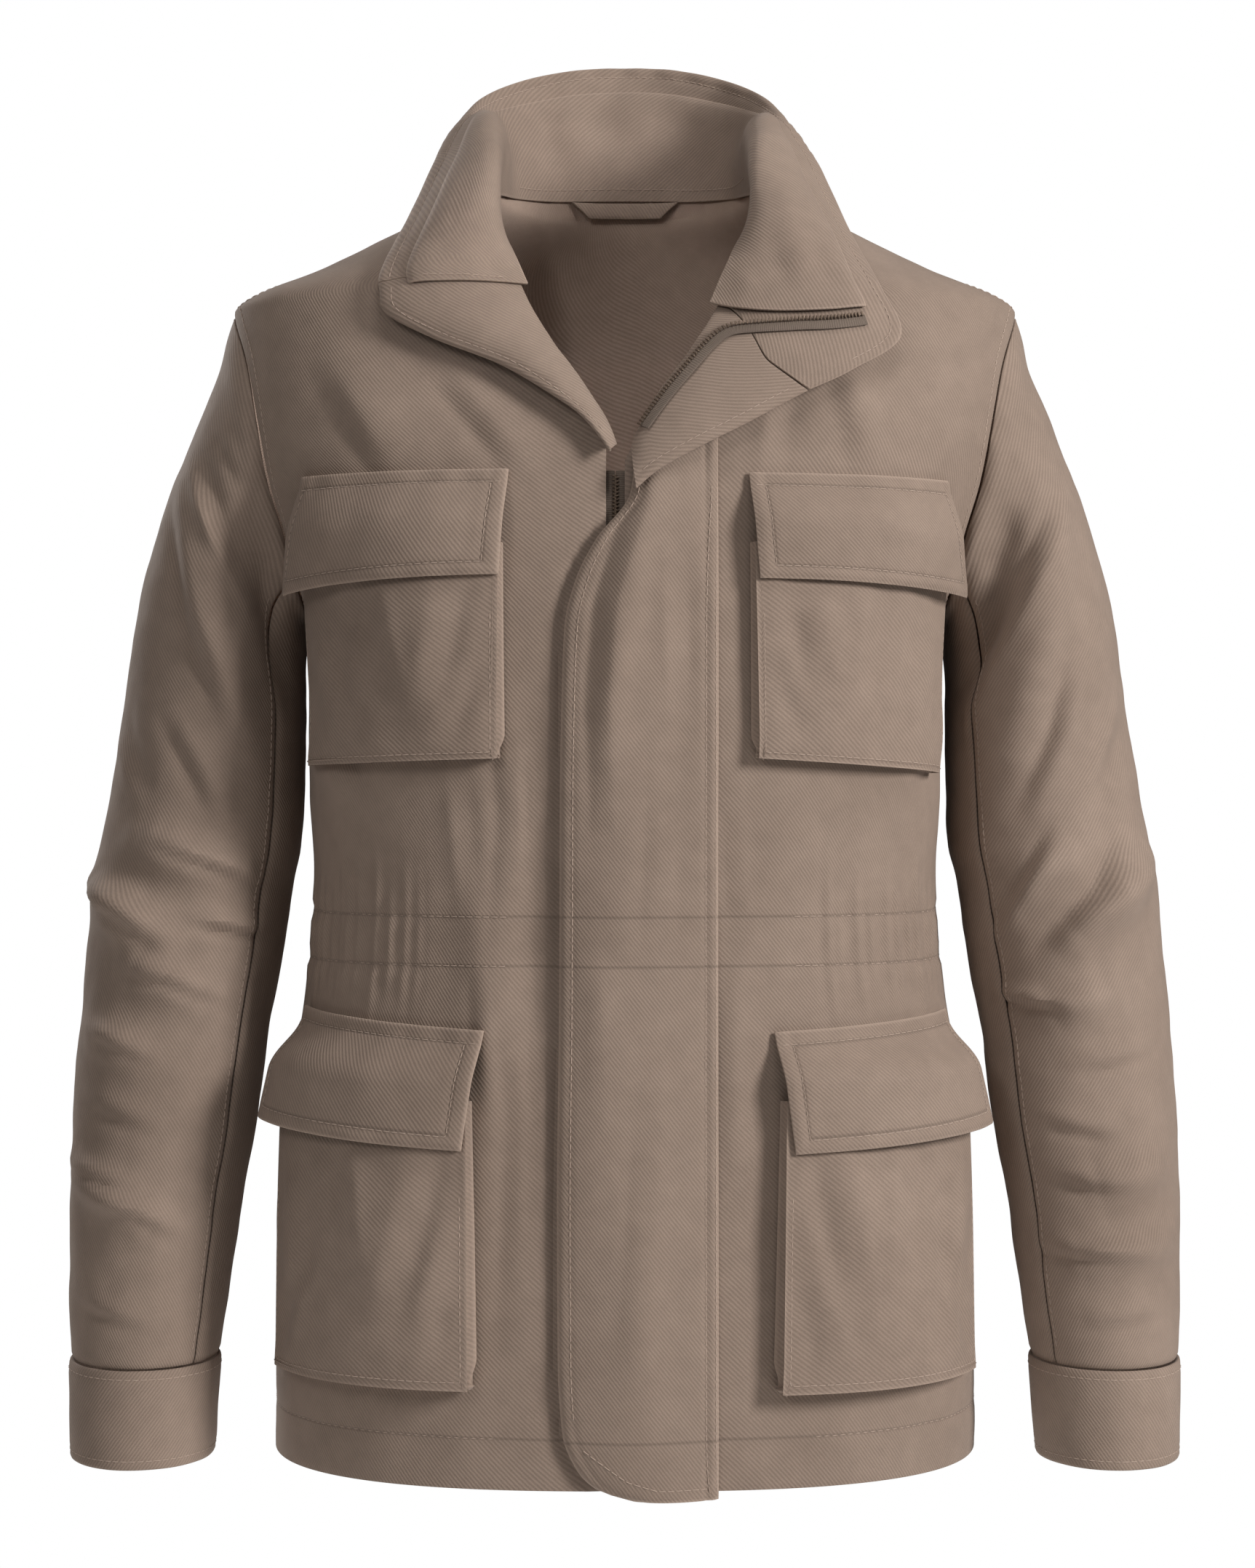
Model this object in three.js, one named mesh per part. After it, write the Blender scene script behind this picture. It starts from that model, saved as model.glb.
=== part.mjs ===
// A field jacket, worn and hollow, with its front half open at the neck.
// Millimetres. The origin is between the two neck points, on the line of the shoulder seams.
// +X is the wearer's left, the chest faces -Y and +Z is up.
import * as THREE from "three";

// Cloth
const CLOTH = 1.8; // a lined cotton twill
const DOUBLE_CLOTH = 2.4; // two layers turned and stitched, as in flaps and lapels
const TAPE = 0.8; // the woven tape of the zip
const GAP = 0.3; // between pieces that are sewn together
const LIE = 0.9; // between a panel and what lies on its curve

// Heights
const NECK_HALF = 74; // half the width between the neck points, at height 0
const NECK_RISE = 13; // of the centre back neck
const SHOULDER_END = -75;
const ARMPIT = -250;
const BREAK = -170; // where the two fronts part
const HEM = -722;
const WAIST = -430; // the middle of the drawn waist

// Places across the front
const ZIP_LINE = -5;
const ZIP_HALF_GAP = 5; // from the zip's line to the edge of each front
const TAPE_WIDTH = 12;
const FLAP_SEAM = 50; // where the storm flap is sewn to the front

// The trunk is a stack of squarish ovals. half: half the width. front, back: depth before and behind the seams.
const OVAL_POWER = 2.6;
const SECTIONS = [
  { z: 13, half: 74, front: 62, back: 80 },
  { z: 0, half: 74, front: 62, back: 82 },
  { z: -25, half: 124.7, front: 76, back: 96 },
  { z: -50, half: 175.3, front: 89, back: 107 },
  { z: -75, half: 226, front: 100, back: 115 },
  { z: -100, half: 227, front: 109, back: 120 },
  { z: -125, half: 227, front: 116, back: 124 },
  { z: -150, half: 224, front: 122, back: 126 },
  { z: -178, half: 214, front: 127, back: 127 },
  { z: -206, half: 201, front: 131, back: 127 },
  { z: -230, half: 189.5, front: 133, back: 126 },
  { z: -250, half: 183, front: 134, back: 125 },
  { z: -300, half: 182, front: 134, back: 120 },
  { z: -350, half: 181.5, front: 131, back: 113 },
  { z: -405, half: 179, front: 128, back: 109 },
  { z: -431, half: 180, front: 128, back: 110 },
  { z: -456, half: 183, front: 129, back: 113 },
  { z: -481, half: 187, front: 130, back: 117 },
  { z: -507, half: 193, front: 131, back: 121 },
  { z: -540, half: 198, front: 133, back: 124 },
  { z: -600, half: 200.5, front: 135, back: 126 },
  { z: -722, half: 201, front: 137, back: 127 },
];

// x: the armhole seam's distance from the middle at each height
const ARMHOLE = [
  { z: -75, x: 226 },
  { z: -110, x: 213 },
  { z: -147, x: 205 },
  { z: -178, x: 199 },
  { z: -206, x: 191 },
  { z: -230, x: 186.5 },
  { z: -250, x: 183 },
];

// x: the front neckline's distance from the middle, down along the fold of the lapels
const NECKLINE = [
  { z: 0, x: 74 },
  { z: -10, x: 73.6 },
  { z: -20, x: 72.8 },
  { z: -40, x: 68.5 },
  { z: -62, x: 61 },
  { z: -92, x: 47.5 },
  { z: -110, x: 36 },
  { z: -130, x: 21.5 },
  { z: -150, x: 9.5 },
  { z: -170, x: 1 },
];

// Soft folds in the trunk. face: -1 front, 1 back. Each runs from one point to the other.
// rise: how far it stands out of the cloth.
const TRUNK_FOLDS = [
  { face: -1, x0: -78, z0: -340, x1: -72, z1: -560, width: 15, rise: 4 },
  { face: -1, x0: -52, z0: -300, x1: -50, z1: -620, width: 12, rise: -3 },
  { face: -1, x0: -150, z0: -120, x1: -118, z1: -165, width: 16, rise: 3 },
  { face: -1, x0: 120, z0: -110, x1: 132, z1: -172, width: 16, rise: 3 },
  { face: -1, x0: 62, z0: -345, x1: 66, z1: -410, width: 11, rise: -3 },
  { face: -1, x0: 150, z0: -352, x1: 176, z1: -300, width: 14, rise: 3 },
  { face: -1, x0: -150, z0: -355, x1: -176, z1: -318, width: 14, rise: 3 },
  { face: 1, x0: -120, z0: -230, x1: -60, z1: -400, width: 20, rise: 4 },
  { face: 1, x0: 118, z0: -215, x1: 70, z1: -395, width: 20, rise: 4 },
  { face: 1, x0: -8, z0: -180, x1: 4, z1: -380, width: 24, rise: -4 },
  { face: 1, x0: -90, z0: -470, x1: -104, z1: -660, width: 20, rise: 3 },
  { face: 1, x0: 76, z0: -470, x1: 92, z1: -690, width: 20, rise: 3 },
  { face: 1, x0: -6, z0: -470, x1: 2, z1: -640, width: 18, rise: 3 },
];

// The drawn waist
const GATHER_RISE = 1.1;
const GATHER_REACH = 34; // above and below the waist
const FRONT_GATHERS = 11; // on each front, from FRONT_GATHER_START round to the side seam
const FRONT_GATHER_START = 0.3; // as a share of the way from the front edge to the side seam
const BACK_GATHERS = 26;
const NECK_SHARE = 0.34; // of half the back's width, along its top row
const FRONT_SAG = 1.5; // how the rows of the front bend down towards the middle, as a power
const BACK_SAG = 1.4;
const NECK_ROUND = 0.8; // how full the curve of the back neck is, as a power
const SEAM_HALF = GAP * 0.6; // from a seam's line to the edge of each panel
const FOLD_FADE = 12; // folds die out over this distance from the side seams

// outer, inner: the sleeve's two sides. middle: its place from front to back. deep: half its depth.
const SLEEVE = [
  { z: -75, outer: 226, inner: 186.5, middle: 2, deep: 52 },
  { z: -85, outer: 236.4, inner: 186.5, middle: 2, deep: 56 },
  { z: -100, outer: 245, inner: 186.5, middle: 2, deep: 58 },
  { z: -125, outer: 256, inner: 186.5, middle: 2, deep: 61 },
  { z: -151, outer: 264, inner: 186.5, middle: 2, deep: 63 },
  { z: -202, outer: 276, inner: 186.5, middle: 3, deep: 64 },
  { z: -253, outer: 285, inner: 186.5, middle: 4, deep: 63 },
  { z: -303, outer: 292, inner: 187, middle: 5, deep: 61 },
  { z: -354, outer: 300, inner: 187.5, middle: 4, deep: 60 },
  { z: -380, outer: 305, inner: 189, middle: 2, deep: 60 },
  { z: -405, outer: 309.5, inner: 194, middle: 0, deep: 59 },
  { z: -431, outer: 310.5, inner: 197, middle: -4, deep: 58 },
  { z: -481, outer: 313.5, inner: 205, middle: -12, deep: 56 },
  { z: -532, outer: 316, inner: 211, middle: -21, deep: 54 },
  { z: -583, outer: 316, inner: 219, middle: -30, deep: 51 },
  { z: -634, outer: 314.5, inner: 225, middle: -39, deep: 48 },
  { z: -667, outer: 312, inner: 229.5, middle: -46, deep: 45 },
  { z: -721, outer: 309.5, inner: 232.5, middle: -55, deep: 42 },
];
const SLEEVE_HEAD_FOOT = -300; // the sleeve is a plain tube below this height
const SLEEVE_RADIUS = 56; // its mean radius, for lengths round it
const UNDERARM = [150, 210]; // no fold stands out between these turns, where the sleeve is next to the trunk
const CUFF_TOP = -667;
const CUFF_FOOT = -721;
const CUFF_STAND = 0.8; // how far the cuff stands out of the sleeve's line
// Degrees round the sleeve, from its outer side over the front
const ARMHOLE_TURNS = [0, 9, 22.5, 45, 67.5, 90, 112.5, 135, 157.5, 180]; // points of each half of the armhole
const HEAD_SEAM = 135; // the two sleeve seams leave the armhole here, before and behind
const FRONT_SLEEVE_SEAM = 142; // and run down the arm here
const BACK_SLEEVE_SEAM = 222;

// Creases in the sleeves. side: -1 left in the picture, 1 right. turn: degrees round the sleeve.
const SLEEVE_FOLDS = [
  { side: -1, turn0: 75, z0: -180, turn1: 120, z1: -330, width: 15, rise: 4 },
  { side: -1, turn0: 95, z0: -165, turn1: 150, z1: -290, width: 12, rise: -4 },
  { side: -1, turn0: 30, z0: -404, turn1: 80, z1: -432, width: 13, rise: 6 },
  { side: -1, turn0: 60, z0: -378, turn1: 120, z1: -396, width: 11, rise: 5 },
  { side: -1, turn0: 70, z0: -452, turn1: 115, z1: -466, width: 11, rise: 4 },
  { side: -1, turn0: 35, z0: -485, turn1: 85, z1: -498, width: 10, rise: 3 },
  { side: -1, turn0: 30, z0: -560, turn1: 100, z1: -588, width: 11, rise: 4 },
  { side: -1, turn0: 235, z0: -400, turn1: 300, z1: -425, width: 13, rise: 5 },
  { side: -1, turn0: 230, z0: -455, turn1: 290, z1: -440, width: 12, rise: 4 },
  { side: 1, turn0: 60, z0: -185, turn1: 118, z1: -325, width: 15, rise: 4 },
  { side: 1, turn0: 85, z0: -170, turn1: 140, z1: -285, width: 12, rise: -4 },
  { side: 1, turn0: 35, z0: -388, turn1: 90, z1: -430, width: 12, rise: 6 },
  { side: 1, turn0: 80, z0: -380, turn1: 125, z1: -410, width: 11, rise: 4 },
  { side: 1, turn0: 75, z0: -462, turn1: 110, z1: -472, width: 11, rise: 4 },
  { side: 1, turn0: 45, z0: -558, turn1: 95, z1: -566, width: 12, rise: 4 },
  { side: 1, turn0: 40, z0: -598, turn1: 110, z1: -608, width: 11, rise: 4 },
  { side: 1, turn0: 240, z0: -405, turn1: 300, z1: -430, width: 13, rise: 5 },
  { side: 1, turn0: 230, z0: -460, turn1: 285, z1: -446, width: 12, rise: 4 },
];

// Collar and lapels, one row for each place from the left break round the neck to the right break.
// nx, nz: the neck seam or fold, which lies on the trunk. lift: how far it stands out of the trunk there.
// bx, by, bz: the point that rounds the roll. ex, ey, ez: the free edge.
const NECK = [
  { nx: -4, nz: -163, face: -1, lift: 2.9, bx: -6, by: -136, bz: -165, ex: -8, ey: -137, ez: -167 },
  { nx: -9.5, nz: -150, face: -1, lift: 2.9, bx: -16, by: -135, bz: -149, ex: -23, ey: -132, ez: -149 },
  { nx: -21.5, nz: -130, face: -1, lift: 2.9, bx: -32, by: -134, bz: -131, ex: -42, ey: -129, ez: -135 },
  { nx: -36, nz: -110, face: -1, lift: 2.9, bx: -52, by: -131, bz: -112, ex: -68.5, ey: -123, ez: -119 },
  { nx: -47.5, nz: -92, face: -1, lift: 2.9, bx: -74, by: -128, bz: -94, ex: -103, ey: -115, ez: -104.5 },
  { nx: -54, nz: -79, face: -1, lift: 2.9, bx: -88, by: -122, bz: -80, ex: -130, ey: -105, ez: -89 },
  { nx: -57.5, nz: -71, face: -1, lift: 2.9, bx: -92, by: -118, bz: -69, ex: -134.5, ey: -99, ez: -75 },
  { nx: -61, nz: -62, face: -1, lift: 2.9, bx: -92, by: -113, bz: -55, ex: -134.5, ey: -88, ez: -60 },
  { nx: -68.5, nz: -40, face: -1, lift: 2.2, bx: -74, by: -98, bz: -8, ex: -122, ey: -47, ez: -21 },
  { nx: -72.8, nz: -20, face: -1, lift: 1.5, bx: -64, by: -70, bz: 22, ex: -111, ey: -20, ez: 13 },
  { nx: -74, nz: -4, face: -1, lift: 1.3, bx: -61, by: -42, bz: 44, ex: -106, ey: -8, ez: 28 },
  { nx: -74, nz: 2.6, face: 1, lift: -1.8, bx: -62, by: -6, bz: 58, ex: -100, ey: 6, ez: 41 },
  { nx: -67, nz: 8.3, face: 1, lift: -1.8, bx: -67, by: 40, bz: 46, ex: -86, ey: 40, ez: 65 },
  { nx: -45, nz: 11.4, face: 1, lift: -1.8, bx: -49, by: 72, bz: 50, ex: -62, ey: 66, ez: 82 },
  { nx: -22, nz: 13.1, face: 1, lift: -1.8, bx: -24, by: 80, bz: 54, ex: -31, ey: 84, ez: 93 },
  { nx: 0, nz: 13.6, face: 1, lift: -1.8, bx: 0, by: 82, bz: 55, ex: 0, ey: 90, ez: 96 },
  { nx: 22, nz: 13.1, face: 1, lift: -1.8, bx: 24, by: 80, bz: 54, ex: 32, ey: 84, ez: 93 },
  { nx: 45, nz: 11.4, face: 1, lift: -1.8, bx: 49, by: 72, bz: 50, ex: 64, ey: 66, ez: 81 },
  { nx: 67, nz: 8.3, face: 1, lift: -1.8, bx: 67, by: 40, bz: 46, ex: 86, ey: 38, ez: 63 },
  { nx: 74, nz: 2.6, face: 1, lift: -1.8, bx: 62, by: -6, bz: 58, ex: 101, ey: 8, ez: 38 },
  { nx: 74, nz: -4, face: -1, lift: 1.3, bx: 61, by: -42, bz: 44, ex: 107, ey: -6, ez: 25 },
  { nx: 72.8, nz: -20, face: -1, lift: 1.5, bx: 64, by: -70, bz: 22, ex: 114, ey: -20, ez: 9 },
  { nx: 68.5, nz: -40, face: -1, lift: 3, bx: 76, by: -100, bz: -12, ex: 128, ey: -58, ez: -35 },
  { nx: 61, nz: -62, face: -1, lift: 5.5, bx: 92, by: -118, bz: -58, ex: 141, ey: -94, ez: -71 },
  { nx: 56, nz: -74, face: -1, lift: 5.5, bx: 98, by: -126, bz: -84, ex: 151, ey: -106, ez: -101 },
  { nx: 50.5, nz: -86, face: -1, lift: 5.5, bx: 84, by: -130, bz: -104, ex: 122.5, ey: -120, ez: -122 },
  { nx: 45, nz: -96, face: -1, lift: 5.5, bx: 70, by: -132, bz: -116, ex: 96.5, ey: -127, ez: -135 },
  { nx: 36, nz: -110, face: -1, lift: 5.5, bx: 50, by: -136, bz: -132, ex: 66, ey: -134, ez: -152 },
  { nx: 21.5, nz: -130, face: -1, lift: 5.5, bx: 29, by: -139, bz: -149, ex: 39, ey: -139, ez: -166 },
  { nx: 9.5, nz: -150, face: -1, lift: 5.5, bx: 13, by: -140, bz: -164, ex: 18, ey: -141, ez: -178 },
  { nx: 3, nz: -165, face: -1, lift: 5.5, bx: 4, by: -140, bz: -176, ex: 6, ey: -141, ez: -188 },
];
const LEFT_COLLAR_SEAM = 6.4; // where the collar meets the facing, in rows of the table
const RIGHT_COLLAR_SEAM = 24.9; // at the fold
const RIGHT_SEAM_EDGE = 25.9; // at the free edge
const INNER_COLLAR_LEFT = 5.6; // the inner collar's front ends
const INNER_COLLAR_RIGHT = 25.2;
const INNER_COLLAR_RIGHT_TOP = 23.7;
const INNER_COLLAR_HEIGHT = 0.8; // as a share of the outer collar
const INNER_OUT = CLOTH + 0.6; // from the face of the outer collar to that of the inner one
const WING_LIFT = 1.5; // how much more the inner collar's right wing stands off
const WING_START = 21.5; // from this row on
// The zip on the open right lapel: row of the neck table, and share of the way from fold to edge
const LAPEL_ZIP = [
  { row: 23.98, share: 0.8 },
  { row: 24.36, share: 0.64 },
  { row: 24.68, share: 0.5 },
  { row: 25.2, share: 0.33 },
  { row: 25.9, share: 0.2 },
  { row: 26.6, share: 0.16 },
  { row: 27.6, share: 0.17 },
  { row: 28.4, share: 0.19 },
  { row: 29.0, share: 0.2 },
];

// x: the storm flap's free edge
const FLAP_EDGE = [
  { z: -112, x: 38 },
  { z: -130, x: 24 },
  { z: -150, x: 12.5 },
  { z: -168, x: 6 },
  { z: -190, x: 3 },
  { z: -215, x: -15.5 },
  { z: -236, x: -26 },
  { z: -261, x: -32 },
  { z: -300, x: -33.5 },
  { z: -353, x: -34.5 },
  { z: -470, x: -35 },
  { z: -567, x: -36 },
  { z: -654, x: -35.5 },
  { z: -691, x: -33 },
  { z: -709, x: -26 },
  { z: -720, x: -15 },
  { z: -726, x: 3 },
];
const FLAP_HEIGHTS = [
  -112, -130, -150, -168, -190, -212, -236, -261, -300, -350,
  -405, -460, -515, -570, -620, -660, -691, -709, -720, -726,
];
const FLAP_STAND = 5.5; // how far the storm flap stands off over the zip
const FLAP_STAND_TOP = -136; // from this height down
const FLAP_EDGE_STAND = 1.2; // how far its free edge stands off
const FLAP_FOLDS = [
  { x0: 12, z0: -200, x1: -14, z1: -330, width: 10, rise: 3 },
  { x0: 30, z0: -260, x1: 28, z1: -420, width: 12, rise: -3 },
  { x0: 2, z0: -560, x1: 10, z1: -690, width: 14, rise: 2 },
];

// Pockets. in, out: x of the edges nearer to and further from the zip, as a distance from the middle.
// stand: how far the bag's edge stands off the front along its sides.
// belly: how much more it stands off in the middle. The bag and its flap have their own top, foot, in and out.
const POCKETS = [
  {
    name: "chest", side: -1, top: -216, foot: -331, inTop: 66, inFoot: 66.5, outTop: 176, outFoot: 168.5,
    footDrop: 4, stand: 5, belly: 5, flapTop: -176, flapFoot: -234, flapIn: 62, flapInFoot: 65.7,
    flapOut: 176.5, flapOutFoot: 177.5, flapRise: 0, flapDrop: 1,
  },
  {
    name: "chest", side: 1, top: -216, foot: -331, inTop: 68, inFoot: 70, outTop: 176, outFoot: 168.5,
    footDrop: 8, stand: 5, belly: 5, flapTop: -178, flapFoot: -236, flapIn: 66.3, flapInFoot: 70.4,
    flapOut: 176.5, flapOutFoot: 177.5, flapRise: 0, flapDrop: 0,
  },
  {
    name: "lower", side: -1, top: -515, foot: -668, inTop: 82, inFoot: 81, outTop: 185, outFoot: 187.5,
    footDrop: 0, stand: 9, belly: 6, flapTop: -477, flapFoot: -541, flapIn: 74.1, flapInFoot: 84,
    flapOut: 177.5, flapOutFoot: 187, flapRise: 8, flapDrop: -8,
  },
  {
    name: "lower", side: 1, top: -515, foot: -670, inTop: 84, inFoot: 81.5, outTop: 185, outFoot: 188,
    footDrop: 0, stand: 9, belly: 6, flapTop: -478, flapFoot: -543, flapIn: 79.6, flapInFoot: 88,
    flapOut: 178, flapOutFoot: 187.5, flapRise: 7, flapDrop: -7,
  },
];

const OUTER_STAND = 0.6; // a bag's stand at its outer edge, as a share of that at the inner one
const FLAP_LIFT = 5; // how far a flap's outer corner lifts off
const FLAP_OVER = 1.2; // from a bag to the flap over it

const LOOP_HALF_WIDTH = 34;
const LOOP_FOOT_HALF_WIDTH = 23;
const LOOP_TOP = 10;
const LOOP_DROP = 9;
const LOOP_HANG = 3; // how far its foot stands off the back
const LOOP_OFF = 1.7; // from the inner face of the back to its top edge

const SLIDER = { z: -206, wide: 8.6, long: 11, deep: 2, tabLong: 24, tabWide: 6.4, lean: 0.07 };

const TAUPE = 0x8c7a6e;
const materials = {
  shell: new THREE.MeshStandardMaterial({ color: TAUPE, roughness: 0.9, metalness: 0 }),
  tape: new THREE.MeshStandardMaterial({ color: 0x6c5c50, roughness: 0.85, metalness: 0 }),
  metal: new THREE.MeshStandardMaterial({ color: 0x8a7460, roughness: 0.4, metalness: 1 }),
};

// The value of a column at a height, smooth and with no overshoot. The rows run downwards.
function along(table, column, z) {
  const last = table.length - 1;
  if (z >= table[0].z) return table[0][column];
  if (z <= table[last].z) return table[last][column];
  const i = table.findIndex((row) => row.z <= z) - 1;
  const slope = (k) =>
    (table[k + 1][column] - table[k][column]) / (table[k + 1].z - table[k].z);
  const tangent = (k) => {
    if (k === 0) return slope(0);
    if (k === last) return slope(last - 1);
    const a = slope(k - 1);
    const b = slope(k);
    return a * b <= 0 ? 0 : (2 * a * b) / (a + b);
  };
  const step = table[i + 1].z - table[i].z;
  const t = (z - table[i].z) / step;
  const t2 = t * t;
  const t3 = t2 * t;
  return (
    (2 * t3 - 3 * t2 + 1) * table[i][column] +
    (t3 - 2 * t2 + t) * step * tangent(i) +
    (3 * t2 - 2 * t3) * table[i + 1][column] +
    (t3 - t2) * step * tangent(i + 1)
  );
}

const mix = (a, b, t) => a + (b - a) * t;
// Columns that are even along the oval: the share of its half width for a share of the way round,
// and back again.
const roundShare = (u) => Math.pow(Math.sin((u * Math.PI) / 2), 2 / OVAL_POWER);
const roundTurn = (share) => (2 / Math.PI) * Math.asin(Math.pow(share, OVAL_POWER / 2));
const clamp01 = (t) => Math.min(1, Math.max(0, t));
const ease = (t) => clamp01(t) * clamp01(t) * (3 - 2 * clamp01(t));
const span = (count) => Array.from({ length: count + 1 }, (_, i) => i / count);

// The height of a soft fold at a point: a ridge along a line that dies out at its ends.
function foldAt(fold, a, b, a0, b0, a1, b1) {
  const da = a1 - a0;
  const db = b1 - b0;
  const t = ((a - a0) * da + (b - b0) * db) / (da * da + db * db);
  const near = clamp01(t);
  const away = Math.hypot(a - a0 - near * da, b - b0 - near * db) / fold.width;
  return fold.rise * Math.exp(-away * away) * (0.35 + 0.65 * Math.sin(Math.PI * near));
}

// A point of the trunk's surface and the direction out of the cloth. face: -1 front, 1 back.
function trunk(x, z, face, out = 0) {
  const depthColumn = face < 0 ? "front" : "back";
  const half = along(SECTIONS, "half", z);
  const depth = along(SECTIONS, depthColumn, z);
  const share = Math.min(1, Math.abs(x) / half);
  const rest = Math.pow(1 - Math.pow(share, OVAL_POWER), 1 / OVAL_POWER);
  const y = face * depth * rest;
  const halfSlope = along(SECTIONS, "half", z + 0.5) - along(SECTIONS, "half", z - 0.5);
  const depthSlope = along(SECTIONS, depthColumn, z + 0.5) - along(SECTIONS, depthColumn, z - 0.5);
  const across = Math.pow(share, OVAL_POWER - 1) / half;
  const deep = Math.pow(rest, OVAL_POWER - 1) / depth;
  const n = new THREE.Vector3(
    Math.sign(x) * across,
    face * deep,
    -across * share * halfSlope - deep * rest * depthSlope,
  ).normalize();
  let rise = out;
  for (const f of TRUNK_FOLDS)
    if (f.face === face)
      rise += foldAt(f, x, z, f.x0, f.z0, f.x1, f.z1) * ease((half - Math.abs(x)) / FOLD_FADE);
  return { p: new THREE.Vector3(x, y, z).addScaledVector(n, rise), n };
}

// A wall of cloth. The outer face runs through the rows of points; the inner face lies a thickness behind it.
// Each point is {p, n, u}: its place, the way out of the cloth there, and its share of the way along the row.
function clothWall(rows, thickness, wrap = false) {
  const cells = [];
  const index = rows.map((row) => row.map((cell) => cells.push(cell) - 1));
  if (wrap) index.forEach((row) => row.push(row[0]));
  const at = (r, i) => (i === rows[r].length ? 1 : rows[r][i].u);
  const faces = [];
  for (let r = 0; r + 1 < rows.length; r++) {
    const [a, b] = [index[r], index[r + 1]];
    let i = 0;
    let j = 0;
    while (i < a.length - 1 || j < b.length - 1) {
      const stepAbove = j === b.length - 1 || (i < a.length - 1 && at(r, i + 1) <= at(r + 1, j + 1) + 1e-9);
      faces.push(stepAbove ? [a[i], b[j], a[i + 1]] : [a[i], b[j], b[j + 1]]);
      if (stepAbove) i++;
      else j++;
    }
  }
  let facing = 0;
  for (const [a, b, c] of faces) {
    const ab = cells[b].p.clone().sub(cells[a].p);
    const ac = cells[c].p.clone().sub(cells[a].p);
    facing += ab.cross(ac).dot(cells[a].n);
  }
  if (facing < 0) faces.forEach((face) => face.reverse());
  const count = cells.length;
  const edges = new Map();
  for (const face of faces)
    face.forEach((a, k) => {
      const b = face[(k + 1) % 3];
      if (!edges.delete(b + "," + a)) edges.set(a + "," + b, [a, b]);
    });
  const all = [...faces, ...faces.map(([a, b, c]) => [a + count, c + count, b + count])];
  for (const [a, b] of edges.values()) all.push([b, a, a + count], [b, a + count, b + count]);
  const places = [
    ...cells.map(({ p }) => p),
    ...cells.map(({ p, n }) => p.clone().addScaledVector(n, -thickness)),
  ];
  const geometry = new THREE.BufferGeometry().setFromPoints(places).setIndex(all.flat());
  geometry.computeVertexNormals();
  return geometry;
}

// Rows of cells from a function of the share down and the share across.
const grid = (down, across, cellAt) =>
  span(down).map((v) => span(across).map((u) => ({ ...cellAt(u, v), u })));

const jacket = new THREE.Group();
const groups = {};
for (const name of ["trunk", "sleeves", "neck", "fastening", "pockets"]) {
  groups[name] = new THREE.Group();
  jacket.add(groups[name]);
}
function add(group, name, geometry, material = materials.shell) {
  const mesh = new THREE.Mesh(geometry, material);
  mesh.name = name;
  groups[group].add(mesh);
}
const sideName = (side) => (side < 0 ? "left" : "right");

// Trunk

// How far the gathers of the drawn waist stand out: ridges at whole turns, troughs at half turns.
function gather(turn, z) {
  const near = 1 - Math.abs(z - WAIST) / GATHER_REACH;
  return GATHER_RISE * ease(near * 1.6) * Math.cos(2 * Math.PI * turn);
}

const LOWER_ROWS = [-288, -326, -362, -388];
const GATHERED_ROWS = [-404, -417, -430, -443, -457];
const SKIRT_ROWS = [-474, -506, -545, -590, -635, -680, HEM];
const FRONT_COLUMNS = 11;
const BACK_COLUMNS = 20;

// The height of the armhole at a place round it: 0 at the shoulder, 180 at the armpit.
const armholeHeight = (turn) => mix(ARMPIT, SHOULDER_END, (1 + Math.cos((turn * Math.PI) / 180)) / 2);

// The seam of the armhole: the panel and the sleeve both turn in along this direction there.
const SEAM_SPREAD = 0.25; // how far that direction leans outwards at mid height
const SEAM_SPREAD_RISE = 0.6; // and how much further at the shoulder
function armholeCell(side, z, face) {
  const x = along(ARMHOLE, "x", z);
  const { p } = trunk(side * x, z, face);
  const up = (2 * z - SHOULDER_END - ARMPIT) / (SHOULDER_END - ARMPIT);
  const sideways = side * Math.max(0, SEAM_SPREAD + SEAM_SPREAD_RISE * up);
  const n = new THREE.Vector3(sideways, face * Math.sqrt(Math.max(0, 1 - up * up)), up);
  return { p, n: n.normalize() };
}

// One row of a front, from its inner edge to its outer edge.
// flat: 1 for even steps, 0 for steps that are even along the oval.
function trunkRow(side, inner, outer, columns, flat) {
  return columns.map((u) => {
    const share = mix(roundShare(u), u, flat);
    const x = mix(inner.x, outer.x, share);
    const z = mix(inner.z, outer.z, share);
    return { ...trunk(side * x, z, -1), u };
  });
}

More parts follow.
